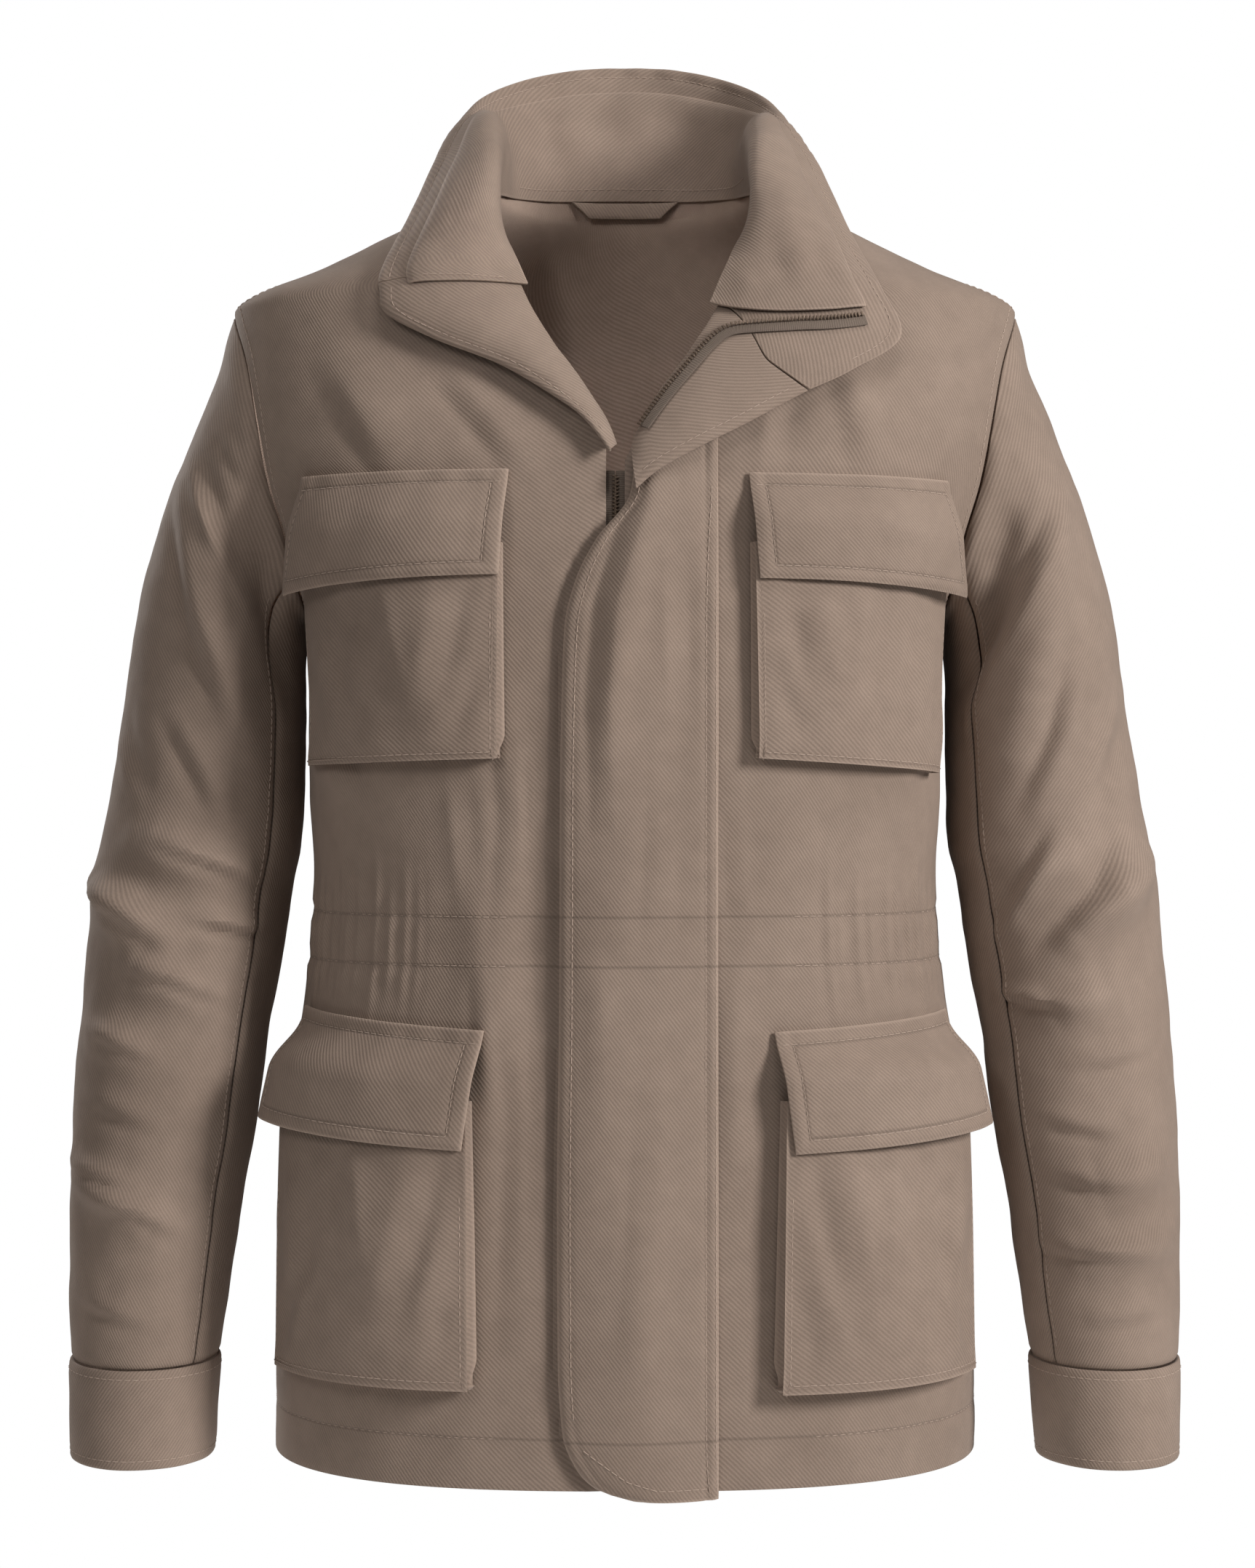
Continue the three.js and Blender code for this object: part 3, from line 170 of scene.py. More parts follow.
SLEEVE_CREASES = {
    (-1, -1): (
        (8, 2.6, (-251, -176), (-238, -250), (-218, -313)),
        (7, -2.4, (-238, -162), (-228, -188), (-205, -242)), (6, 1.8, (-223, -149), (-211, -172)),
        (8, 2.2, (-251, -307), (-234, -340), (-227, -356)),
        (6, 2.8, (-262, -374), (-234, -385), (-212, -395)), (4.5, 2.6, (-240, -420), (-209, -426)),
        (8, 3.4, (-300, -402), (-277, -415), (-258, -430)),
        (6, 2.6, (-279, -447), (-255, -450), (-229, -462)), (6, 2.2, (-298, -481), (-264, -494)),
        (5, 1.8, (-308, -556), (-272, -565)), (6, 2.2, (-291, -576), (-267, -580), (-247, -592)),
        (7, 1.6, (-300, -520), (-262, -530)), (6, 1.6, (-300, -630), (-262, -640)),
        (8, -1.6, (-290, -300), (-268, -350)),
    ),
    (1, -1): (
        (7, 2.2, (217, -165), (202, -195), (190, -218)),
        (8, 2.6, (248, -186), (232, -227), (214, -268), (196, -311)),
        (8, 2.2, (257, -275), (248, -320), (232, -357)), (6, 2.6, (243, -376), (228, -406), (214, -429)),
        (8, 3.2, (284, -377), (272, -408), (240, -440)), (5, 2.6, (213, -462), (244, -467)),
        (6, 2.0, (240, -561), (274, -565)), (6, 2.2, (234, -600), (283, -603)),
        (6, 1.8, (250, -500), (290, -492)), (6, 1.6, (236, -530), (270, -536)),
        (6, 1.6, (252, -640), (292, -634)), (8, -1.8, (292, -300), (268, -356)),
    ),
    (-1, 1): (
        (9, 2.4, (-214, -180), (-240, -260)), (7, 3, (-290, -395), (-250, -412), (-218, -408)),
        (6, 2.4, (-285, -436), (-240, -444)), (7, 2.2, (-294, -470), (-250, -462)),
        (6, 2, (-300, -560), (-258, -572)), (6, 1.8, (-292, -610), (-250, -618)),
    ),
    (1, 1): (
        (9, 2.4, (216, -175), (244, -258)), (7, 3, (294, -392), (252, -410), (220, -404)),
        (6, 2.4, (288, -432), (242, -442)), (7, 2.2, (296, -474), (248, -466)),
        (6, 2, (298, -555), (260, -570)), (6, 1.8, (290, -612), (252, -622)),
    ),
}
FLAP_CREASES = (
    (10, 1.7, (19, -178), (8, -210), (-4, -250), (-8, -300), (-6, -360)),
    (10, -1.1, (33, -226), (35, -300)), (11, 0.7, (26, -330), (22, -430)),
    (11, 0.7, (-14, -430), (-10, -520)), (12, 0.7, (20, -520), (12, -640)),
)


def mix(a, b, t):
    return a + (b - a) * t


def clamp01(t):
    return min(1.0, max(0.0, t))


def ease(t):
    t = clamp01(t)
    return t * t * (3 - 2 * t)


def bell(t):
    return math.exp(-t * t)


def arch(t):
    return math.sin(math.pi * t)


def round_share(u):
    """The share of the oval's half width for a share of the way round it."""
    return math.sin(u * math.pi / 2) ** (2 / OVAL_POWER)


def round_turn(share):
    return 2 / math.pi * math.asin(min(1.0, share) ** (OVAL_POWER / 2))


FOLD_END = 0.35  # the share of a soft fold's rise that is left at its ends


def fold_height(folds, which, a, b):
    """Soft folds that die down towards their ends."""
    rise = 0.0
    for face, a0, b0, a1, b1, width, height in folds:
        if face != which:
            continue
        da, db = a1 - a0, b1 - b0
        near = clamp01(((a - a0) * da + (b - b0) * db) / (da * da + db * db))
        away = math.hypot(a - a0 - near * da, b - b0 - near * db) / width
        if away < 3:
            rise += height * bell(away) * mix(FOLD_END, 1, arch(near))
    return rise


CREASE = 1.8  # how much stronger all creases are than their tables say


def crease_height(creases, x, z):
    """Creases with a ridge and a hollow beside it, through any number of points."""
    rise = 0.0
    for width, height, *points in creases:
        best = None
        total = len(points) - 1
        for i in range(total):
            (x0, z0), (x1, z1) = points[i], points[i + 1]
            dx, dz = x1 - x0, z1 - z0
            length = math.hypot(dx, dz)
            near = clamp01(((x - x0) * dx + (z - z0) * dz) / (length * length))
            ox, oz = x - x0 - near * dx, z - z0 - near * dz
            away = math.hypot(ox, oz)
            if best is None or away < best[0]:
                side = ((x - x0) * dz - (z - z0) * dx) / length
                best = (away, side, math.sqrt(max(0, away * away - side * side)), (i + near) / total)
        away, side, beyond, along = best
        if away > 4 * width:
            continue
        ridge = math.exp(-abs(side / width) ** 1.5)
        hollow = math.exp(-abs((side - 1.25 * width) / (0.55 * width)) ** 1.6)
        ends = arch(mix(0.1, 0.9, along)) * bell(beyond / width)
        rise += CREASE * height * (ridge - 0.75 * hollow) * ends
    return rise


def wrinkle(p, *waves):
    """Uneven cloth: soft noise, each wave by its size and height in millimetres."""
    return sum(height * noise.noise(p / size) for size, height in waves)


def turned_edge(distance, roll, trough, stitch_at, stitch_wide=1.7):
    """A rolled edge and the trough of the stitches that follow it."""
    return -roll * bell(distance / 1.5) - trough * bell((distance - stitch_at) / stitch_wide)


# Surfaces. Each gives a point of the cloth's outer face and the way out of the cloth, in millimetres.


def trunk(x, z, face, out=0.0):
    half = SECTION["half"](z)
    side_depth = SECTION["front" if face < 0 else "back"]
    depth = side_depth(z)
    share = min(1.0, abs(x) / half)
    rest = (1 - share**OVAL_POWER) ** (1 / OVAL_POWER)
    half_slope = (SECTION["half"](z + 2) - SECTION["half"](z - 2)) / 4
    depth_slope = (side_depth(z + 2) - side_depth(z - 2)) / 4
    across = share ** (OVAL_POWER - 1) / half
    deep = rest ** (OVAL_POWER - 1) / depth
    lean = across * share * half_slope + deep * rest * depth_slope
    n = Vector((math.copysign(across, x), face * deep, -lean)).normalized()
    out += fold_height(TRUNK_FOLDS, face, x, z) * ease((half - abs(x)) / 12)
    return Vector((x, face * depth * rest, z)) + n * out, n


def armhole_height(turn):
    return mix(ARMPIT, SHOULDER_END, (1 + math.cos(math.radians(turn))) / 2)


RIDGES = random.Random(7)
RIDGE_SHAPES = [
    (RIDGES.uniform(0.55, 1.3), RIDGES.uniform(26, 62), RIDGES.uniform(-0.28, 0.28)) for _ in range(80)
]
RIDGE_HEIGHT = 2.1
CHANNEL_HALF = 13  # half the height of the drawn channel


def gathers(turn, z, start):
    """Puckers of the drawn waist: ridges at whole turns, each with its own height and reach."""
    index = int(turn)
    rise = 0.0
    for k in (index, index + 1):
        height, reach, shift = RIDGE_SHAPES[(k + start) % len(RIDGE_SHAPES)]
        distance = abs(z - WAIST)
        fade = ease(1.25 - distance / reach) if distance > CHANNEL_HALF else 1.0
        rise += height * fade * bell((turn - k - shift) / 0.3)
    pinch = sum(bell((z - level) / 3.2) for level in WAIST_STITCHES)
    return RIDGE_HEIGHT * rise * (1 - 0.45 * min(1, pinch)) - 1.0 - 0.7 * pinch


GATHERS_REACH = 62


def panel_rise(x, z, face, turn, start):
    """What a front or the back does besides its soft folds. turn: place among the gathers."""
    creases = FRONT_CREASES if face < 0 else BACK_CREASES
    rise = crease_height(creases, x, z)
    near_waist = ease(1.25 - abs(z - WAIST) / GATHERS_REACH)
    if near_waist > 0:
        rise += gathers(turn, z, start) * near_waist * ease(turn - 0.2)
    rise -= 0.5 * bell((z - HEM_STITCH) / 2.5)
    rise += 0.35 * math.sin(x / 5.2 + 2 * math.sin(x / 31)) * bell((z - HEM_STITCH + 8) / 16)
    return rise + wrinkle(Vector((x, z, face * 40)), (46, 0.7), (15, 0.25))


FRONT_GATHERS = 15
FRONT_GATHER_START = 0.3
BACK_GATHERS = 30
ARM_SHARE = 0.34  # of a panel's rows, above the armpit
SHOULDER_CROWD = 1.35  # how much closer those rows lie towards the shoulder seam, as a power
SEAM_HALF = 0.08  # from a seam's line to the edge of each panel
SEAM_DIP = 1.1
QUARTER_ROUND = 0.26  # metres of cloth from the middle line to a side seam
ON_POCKET_RISE = 1.4  # the most that a front rises below what lies on it

# The hollow of the left front beside the storm flap's edge
GUTTER_DEEP = 2.4
GUTTER_PLACE = 2.2
GUTTER_WIDE = 2.6
GUTTER_TOP = -140


def seam_dip(distance):
    return -SEAM_DIP * bell(distance / 1.8)


def front_place(side):
    edge = side * ZIP_LINE + ZIP_HALF_GAP

    def place(u, v):
        if v < ARM_SHARE:
            t = (v / ARM_SHARE) ** SHOULDER_CROWD
            outer_z = armhole_height(180 * t)
            inner_z = ARMPIT * t**1.5
            inner_x = max(edge, NECKLINE["x"](inner_z)) if inner_z > BREAK else edge
            share = mix(u, round_share(u), t)
            x = mix(inner_x, ARMHOLE["x"](outer_z), share)
            z = mix(inner_z, outer_z, share)
        else:
            z = mix(ARMPIT, HEM, (v - ARM_SHARE) / (1 - ARM_SHARE))
            x = mix(edge, SECTION["half"](z), round_share(u))
        turn = max(0, (u - FRONT_GATHER_START) / (1 - FRONT_GATHER_START)) * FRONT_GATHERS
        rise = panel_rise(side * x, z, -1, turn, 0 if side < 0 else 31)
        calm = ease(min(u * 12, (1 - u) * 10, v * 30, (1 - v) * 60))
        rise = rise * calm + seam_dip((1 - u) * 250)
        if side < 0:
            gutter = bell((x + FLAP_EDGE["x"](z) - GUTTER_PLACE) / GUTTER_WIDE)
            rise -= GUTTER_DEEP * gutter * ease((GUTTER_TOP - z) / 20)
        if covered(x, z):
            rise = min(rise, ON_POCKET_RISE)
        p, n = trunk(side * x, z, -1, rise)
        p.y = -SEAM_HALF if v == 0 else min(p.y, -SEAM_HALF)
        return p, n, (round_turn(x / SECTION["half"](z)) * QUARTER_ROUND * side, z * MM)

    return place


# What lies on the fronts, a little enlarged: from and to, across and in height
COVERS = ((60, 182, -338, -170), (72, 195, -672, -465), (-1, 54, -1000, -110))


def covered(x, z):
    return any(x0 < x < x1 and z0 < z < z1 for x0, x1, z0, z1 in COVERS)


NECK_SHARE = 0.34  # of the back's half width, along the neck seam


def back_place(u, v):
    turn_round = u * 2 - 1
    side = -1 if turn_round < 0 else 1
    s = abs(turn_round)
    if v < ARM_SHARE:
        t = (v / ARM_SHARE) ** SHOULDER_CROWD
        outer_z = armhole_height(180 * t)
        middle_z = ARMPIT * t**1.4
        low_x = ARMHOLE["x"](outer_z)
        if s <= NECK_SHARE:
            across = s / NECK_SHARE
            top_x = NECK_HALF * math.sin(across * math.pi / 2)
            top_z = NECK_RISE * max(0, math.cos(across * math.pi / 2)) ** 0.8
        else:
            across = (s - NECK_SHARE) / (1 - NECK_SHARE)
            top_z = SHOULDER_END * across
            top_x = SECTION["half"](top_z)
        down = (ease(t) + t) / 2
        reach = s**6
        x = mix(top_x, low_x * round_share(s), t) + (low_x - mix(SHOULDER_HALF, low_x, t)) * reach
        z = mix(top_z, mix(middle_z, outer_z, s), down) + (outer_z - mix(SHOULDER_END, outer_z, down)) * reach
    else:
        z = mix(ARMPIT, HEM, (v - ARM_SHARE) / (1 - ARM_SHARE))
        x = SECTION["half"](z) * round_share(s)
    rise = panel_rise(side * x, z, 1, u * BACK_GATHERS + 1, 12)
    calm = ease(min(u * 20, (1 - u) * 20, v * 30, (1 - v) * 60))
    rise = rise * calm + seam_dip((1 - s) * 250)
    p, n = trunk(side * x, z, 1, rise)
    p.y = SEAM_HALF if v == 0 and s > NECK_SHARE else max(p.y, SEAM_HALF)
    return p, n, (round_turn(x / SECTION["half"](z)) * QUARTER_ROUND * side, z * MM)


# Sleeves

SLEEVE_HEAD_FOOT = -300
CUFF_TOP = -667
CUFF_FOOT = -721
CUFF_TALL = 54
CUFF_STAND = 1.6  # of the cuff past the sleeve
HEAD_SEAM = 135
FRONT_SLEEVE_SEAM = 142
BACK_SLEEVE_SEAM = 222
SLEEVE_ROUND = 56  # mean radius, for lengths round the sleeve
SLEEVE_DEGREE = math.radians(SLEEVE_ROUND)  # length round the sleeve for each degree
HEAD_PART = 0.4  # of a sleeve's rows, down to the foot of its head
SLEEVE_FOLDS_ROUND = tuple(
    (side, a0 * SLEEVE_DEGREE, z0, a1 * SLEEVE_DEGREE, z1, width, rise)
    for side, a0, z0, a1, z1, width, rise in SLEEVE_FOLDS
)


def sleeve_tube(side, turn, z):
    outer, inner = SLEEVE["outer"](z), SLEEVE["inner"](z)
    angle = math.radians(turn)
    x = (outer + inner) / 2 + (outer - inner) / 2 * math.cos(angle)
    return Vector((side * x, SLEEVE["middle"](z) - SLEEVE["deep"](z) * math.sin(angle), z))


def sleeve_base(side, turn, down):
    if down >= 1:
        return sleeve_tube(side, turn, mix(SLEEVE_HEAD_FOOT, CUFF_TOP, down - 1))
    turn_in = turn - 360 if turn > 180 else turn
    face = -1 if math.sin(math.radians(turn_in)) >= 0 else 1
    ring_z = armhole_height(turn_in)
    ring, _ = trunk(side * ARMHOLE["x"](ring_z), ring_z, face)
    ring.x += side * 0.25
    z = mix(ring_z, SLEEVE_HEAD_FOOT, down)
    tube = sleeve_tube(side, turn, z)
    share = 1 - (1 - down) ** 3
    return Vector((mix(ring.x, tube.x, share), mix(ring.y, tube.y, share), z))


def sleeve_point(side, turn, down, rise_by=0.0):
    p = sleeve_base(side, turn, down)
    around = sleeve_base(side, turn + 2, down) - sleeve_base(side, turn - 2, down)
    length = sleeve_base(side, turn, min(2, down + 0.02)) - sleeve_base(side, turn, max(0, down - 0.02))
    n = around.cross(length) * side
    n.normalize()
    if n.dot(p - sleeve_tube(side, turn + 180, p.z)) < 0:
        n.negate()
    turn_on = turn + 360 if turn < 0 else turn
    front_share = 1 if turn < 0 else 2  # the folds of a sleeve's front are twice as high
    rise = fold_height(SLEEVE_FOLDS_ROUND, side, turn_on * SLEEVE_DEGREE, p.z) * front_share
    face = -1 if p.y < SLEEVE["middle"](p.z) else 1
    rise += crease_height(SLEEVE_CREASES[(side, face)], p.x, p.z) * ease(abs(n.y) * 1.8)
    rise *= ease(min(down / 0.3, (2 - down) / 0.08))
    if 150 < turn_on < 210:
        rise = min(rise, 0)
    rise += wrinkle(p, (34, 1.0), (13, 0.35)) * ease(min(down / 0.2, (2 - down) / 0.08))
    return p + n * (rise + rise_by), n


def sleeve_place(side, head_from, head_to, low_from, low_to):
    def place(u, v):
        down = (v / HEAD_PART) ** 1.15 if v < HEAD_PART else 1 + (v - HEAD_PART) / (1 - HEAD_PART)
        edge_turn = 0.45 * (1 - 2 * u)
        turn = mix(mix(head_from, head_to, u), mix(low_from, low_to, u), min(1, down)) + edge_turn
        edge = min(u, 1 - u) * abs(low_to - low_from)
        dip = seam_dip(edge) + seam_dip(down * 120) * 0.6 + 1.6 * bell((down - 0.06) / 0.05)
        dip += seam_dip((2 - down) * 360)
        p, n = sleeve_point(side, turn, down, dip)
        return p, n, (math.radians(turn) * SLEEVE_ROUND * MM, p.z * MM)

    return place


def cuff_place(side):
    def place(u, v):
        z = mix(CUFF_TOP - 0.5, CUFF_FOOT, v)
        from_foot, from_top = (1 - v) * CUFF_TALL, v * CUFF_TALL
        p = sleeve_tube(side, u * 360, z)
        middle = (sleeve_tube(side, u * 360 + 180, z) + p) / 2
        n = (p - middle).normalized()
        roll = -0.9 * bell(from_foot / 1.6) - 1.0 * bell(from_top / 2.2)
        stitch = -0.35 * bell((from_foot - 5) / 1.6) - 0.3 * bell((from_top - 5) / 1.6)
        out = CUFF_STAND + roll + stitch + wrinkle(p, (18, 0.5))
        return p + n * out, n, (u * 0.27, v * 0.054)

    return place


# Collar and lapels from break to break, by rows: the neck seam or fold as a place of the trunk (x, z, face,
# lift), then the point that rounds the roll, then the free edge

NECK_ROWS = (
    (-4, -163, -1, 2.9, (-6, -136, -165), (-8, -137, -167)),
    (-9.5, -150, -1, 2.9, (-16, -135, -149), (-23, -132, -149)),
    (-21.5, -130, -1, 2.9, (-32, -134, -131), (-42, -129, -135)),
    (-36, -110, -1, 2.9, (-52, -131, -112), (-68.5, -123, -119)),
    (-47.5, -92, -1, 2.9, (-74, -128, -94), (-103, -115, -104.5)),
    (-54, -79, -1, 2.9, (-88, -122, -80), (-130, -105, -89)),
    (-57.5, -71, -1, 2.9, (-92, -118, -69), (-134.5, -99, -75)),
    (-61, -62, -1, 2.9, (-92, -113, -55), (-134.5, -88, -60)),
    (-68.5, -40, -1, 2.2, (-74, -98, -8), (-122, -47, -21)),
    (-72.8, -20, -1, 1.5, (-64, -70, 22), (-111, -20, 13)),
    (-74, -4, -1, 1.3, (-61, -42, 44), (-106, -8, 28)),
    (-74, 2.6, 1, -1.8, (-62, -6, 58), (-100, 6, 41)),
    (-67, 8.3, 1, -1.8, (-67, 40, 46), (-86, 40, 65)),
    (-45, 11.4, 1, -1.8, (-49, 72, 50), (-62, 66, 82)),
    (-22, 13.1, 1, -1.8, (-24, 80, 54), (-31, 84, 93)),
    (0, 13.6, 1, -1.8, (0, 82, 55), (0, 90, 96)),
    (22, 13.1, 1, -1.8, (24, 80, 54), (32, 84, 93)),
    (45, 11.4, 1, -1.8, (49, 72, 50), (64, 66, 81)),
    (67, 8.3, 1, -1.8, (67, 40, 46), (86, 38, 63)),
    (74, 2.6, 1, -1.8, (62, -6, 58), (101, 8, 38)),
    (74, -4, -1, 1.3, (61, -42, 44), (107, -6, 25)),
    (72.8, -20, -1, 1.5, (64, -70, 22), (114, -20, 9)),
    (68.5, -40, -1, 3, (76, -100, -12), (128, -58, -35)),
    (61, -62, -1, 5.5, (92, -118, -58), (141, -94, -71)),
    (56, -74, -1, 5.5, (98, -126, -84), (151, -106, -101)),
    (50.5, -86, -1, 5.5, (84, -130, -104), (122.5, -120, -122)),
    (45, -96, -1, 5.5, (70, -132, -116), (96.5, -127, -135)),
    (36, -110, -1, 5.5, (50, -136, -132), (66, -134, -152)),
    (21.5, -130, -1, 5.5, (29, -139, -149), (39, -139, -166)),
    (9.5, -150, -1, 5.5, (13, -140, -164), (18, -141, -178)),
    (3, -165, -1, 5.5, (4, -140, -176), (6, -141, -188)),
)
LEFT_COLLAR_SEAM = 6.4
RIGHT_COLLAR_SEAM = 24.9
RIGHT_SEAM_EDGE = 25.9
INNER_COLLAR_LEFT = 5.6
INNER_COLLAR_RIGHT = 25.2
INNER_COLLAR_RIGHT_TOP = 23.7
INNER_COLLAR_HEIGHT = 0.8
INNER_COLLAR_FOOT = -0.04
INNER_OUT = CLOTH + 0.6
WING_LIFT = 1.5
COLLAR_INSET = 6.5  # from the free edge to its stitches


def spline(points, row):
    i = min(len(points) - 2, max(0, int(row)))
    t = row - i
    a, b, c, d = (points[min(len(points) - 1, max(0, k))] for k in (i - 1, i, i + 1, i + 2))
    return 0.5 * (2 * b + (c - a) * t + (2 * a - 5 * b + 4 * c - d) * t * t + (3 * b - a - 3 * c + d) * t**3)


RAILS = (
    [trunk(x, z, face, lift)[0] for x, z, face, lift, _, _ in NECK_ROWS],
    [Vector(row[4]) for row in NECK_ROWS],
    [Vector(row[5]) for row in NECK_ROWS],
)


def neck_base(row, share):
    seam, roll, edge = (spline(rail, row) for rail in RAILS)
    return seam * (1 - share) ** 2 + roll * 2 * share * (1 - share) + edge * share**2


def neck_point(row, share, out=0.0):
    p = neck_base(row, share)
    around = neck_base(row + 0.05, share) - neck_base(row - 0.05, share)
    high = share if share > 0.5 else share + 0.02
    n = around.cross(neck_base(row, high) - neck_base(row, high - 0.02)).normalized()
    return p + n * out, n


NECK_LENGTHS = [0.0]
for neck_row in range(1, len(NECK_ROWS)):
    step_along = (neck_base(neck_row, 0.5) - neck_base(neck_row - 1, 0.5)).length
    NECK_LENGTHS.append(NECK_LENGTHS[-1] + step_along)


def neck_length(row):
    i = min(len(NECK_LENGTHS) - 2, max(0, int(row)))
    return mix(NECK_LENGTHS[i], NECK_LENGTHS[i + 1], row - i)


def neck_width(row):
    return (neck_base(row, 0.5) - neck_base(row, 0)).length + (neck_base(row, 1) - neck_base(row, 0.5)).length


def neck_place(from_row, to_row, low, high, out, rise_at):
    """A piece of the neck. rise_at(row, share, p) is what it does besides its plain form."""

    def place(u, v):
        share = mix(high, low, v)
        row = mix(from_row(share), to_row(share), u)
        p, n = neck_point(row, share, 0)
        rise = out + rise_at(row, share, p)
        return p + n * rise, n, (neck_length(row) * MM, share * neck_width(row) * MM)

    return place


def right_seam(share):
    return mix(RIGHT_COLLAR_SEAM, RIGHT_SEAM_EDGE, ease(share * 1.6))


def collar_rise(row, share, p):
    """The outer collar: a rolled edge, the trough of its stitches, and ripples where it was turned."""
    from_edge = (1 - share) * neck_width(row)
    rise = turned_edge(from_edge, 1.0, 0.45, COLLAR_INSET)
    ripple = math.sin(neck_length(row) / 3.1 + 2.2 * math.sin(neck_length(row) / 23))
    rise += 0.42 * ripple * bell((from_edge - 3.4) / 3.4) * ease((row - 13.5) / 2) * ease((21 - row) / 2)
    rise += 0.16 * ripple * bell((from_edge - 3.4) / 3.4)
    return rise + wrinkle(p, (30, 0.7)) * ease(from_edge / 12)


def inner_rise(row, share, p):
    """The inner collar: a full rolled top, soft hollows at the back and a buckled right wing."""
    from_edge = (INNER_COLLAR_HEIGHT - share) * neck_width(row)
    rise = WING_LIFT * ease(row - 21.5) - 1.5 * bell(from_edge / 2.2) + 0.5 * bell((from_edge - 9) / 7)
    back = ease((row - 12.5) / 1.5) * ease((18.5 - row) / 1.5)
    rise += back * 1.6 * math.sin(neck_length(row) / 7.6 + 0.8) * bell((share - 0.56) / 0.2)
    rise += back * 0.9 * math.sin(neck_length(row) / 12.3) * bell((share - 0.3) / 0.2)
    for at_row, at_share, wide, high, tall in INNER_DENTS:
        rise += tall * bell((row - at_row) / wide) * bell((share - at_share) / high)
    return rise + wrinkle(p, (24, 0.6))


# Dents and swells of the inner collar: row, share, width in rows, height in shares, rise
INNER_DENTS = (
    (24.0, 0.12, 0.5, 0.07, 1.6), (23.2, 0.32, 0.5, 0.1, -1.6), (22.5, 0.5, 0.5, 0.12, 1.2),
    (21.6, 0.36, 0.5, 0.14, -1.3), (23.0, 0.62, 0.45, 0.08, -1.2), (20.6, 0.5, 0.6, 0.2, 1.0),
    (7.2, 0.4, 0.7, 0.25, 0.7), (9.0, 0.55, 0.7, 0.2, 0.8), (10.5, 0.62, 0.8, 0.1, 0.9),
    (6.4, 0.18, 0.35, 0.1, -0.8),
)


def facing_rise(row, share, p):
    from_edge = (1 - share) * neck_width(row)
    rise = turned_edge(from_edge, 1.0, 0.3, COLLAR_INSET)
    return rise + wrinkle(p, (26, 0.8)) * ease(from_edge / 10) + wrinkle(p, (11, 0.2))


# Storm flap


FLAP_TOP = -112
FLAP_FOOT = -726
FLAP_EDGE_STAND = 2.3
FLAP_ARCH = 5.5  # how far the flap's middle stands out
FLAP_INSET = 7  # from an edge to its stitches
FLAP_FOOT_INSET = 6


def flap_place(u, v):
    z = mix(FLAP_TOP, FLAP_FOOT, v)
    left = FLAP_EDGE["x"](z)
    x = mix(left, FLAP_SEAM, u)
    stand = mix(FLAP_EDGE_STAND, 0, u) + FLAP_ARCH * arch(u**0.8) * ease((-136 - z) / 60)
    from_edge = u * (FLAP_SEAM - left)
    from_seam = FLAP_SEAM - x
    inside = arch(u)
    rise = CLOTH + LIE + stand
    rise += fold_height(FLAP_FOLDS, 0, x, z) * inside + crease_height(FLAP_CREASES, x, z) * ease(inside * 1.6)
    rise += turned_edge(from_edge, 0.9, 0.35, FLAP_INSET)
    rise += turned_edge(z - FLAP_FOOT, 0.9, 0.35, FLAP_FOOT_INSET)
    rise += -0.9 * bell(from_seam / 1.4) + 0.5 * bell((from_seam - 3) / 2)
    rise -= 0.5 * bell((from_seam - FLAP_INSET) / 1.4)
    ripple = math.sin(z / 4.6 + 2 * math.sin(z / 29))
    rise += 0.16 * ripple * (bell((from_edge - 3) / 3.5) + bell((from_seam - 4) / 4))
    p, n = trunk(x, z, -1, 0)
    rise += wrinkle(p, (40, 0.9), (14, 0.25)) * ease(from_edge / 12) * ease(from_seam / 12)
    return p + n * rise, n, ((x + 40) * MM, z * MM)


# Pockets. Sizes as distances from the middle line and heights.
POCKET_COLUMNS = (
    "name", "side", "top", "foot", "in_top", "in_foot", "out_top", "out_foot", "drop", "stand", "belly",
    "flap_top", "flap_foot", "flap_in", "flap_in_foot", "flap_out", "flap_out_foot", "flap_rise", "flap_drop",
)
POCKET_ROWS = (
    ("chest", -1, -216, -331, 66, 66.5, 176, 168.5, 4, 5, 5, -176, -234, 62, 65.7, 176.5, 177.5, 0, 1),
    ("chest", 1, -216, -331, 68, 70, 176, 168.5, 8, 5, 5, -178, -236, 66.3, 70.4, 176.5, 177.5, 0, 0),
    ("lower", -1, -515, -668, 82, 81, 185, 187.5, 0, 9, 6, -477, -541, 74.1, 84, 177.5, 187, 8, -8),
    ("lower", 1, -515, -670, 84, 81.5, 185, 188, 0, 9, 6, -478, -543, 79.6, 88, 178, 187.5, 7, -7),
)
POCKETS = [dict(zip(POCKET_COLUMNS, row)) for row in POCKET_ROWS]
OUTER_STAND = 0.6
FLAP_LIFT = 5
BELLOWS = 0.07  # share of a bag's grid that is its bellows side
TUCK = 2.2  # how far that side is drawn in below the face
PLEAT = (1.2, 2.8)  # how far its pleat goes in and out, above and below
BAG_ROUND = 0.11  # metres of cloth across a bag


def pocket_x(inner, outer, z, u):
    half = SECTION["half"](z)
    return half * round_share(mix(round_turn(inner / half), round_turn(outer / half), u))


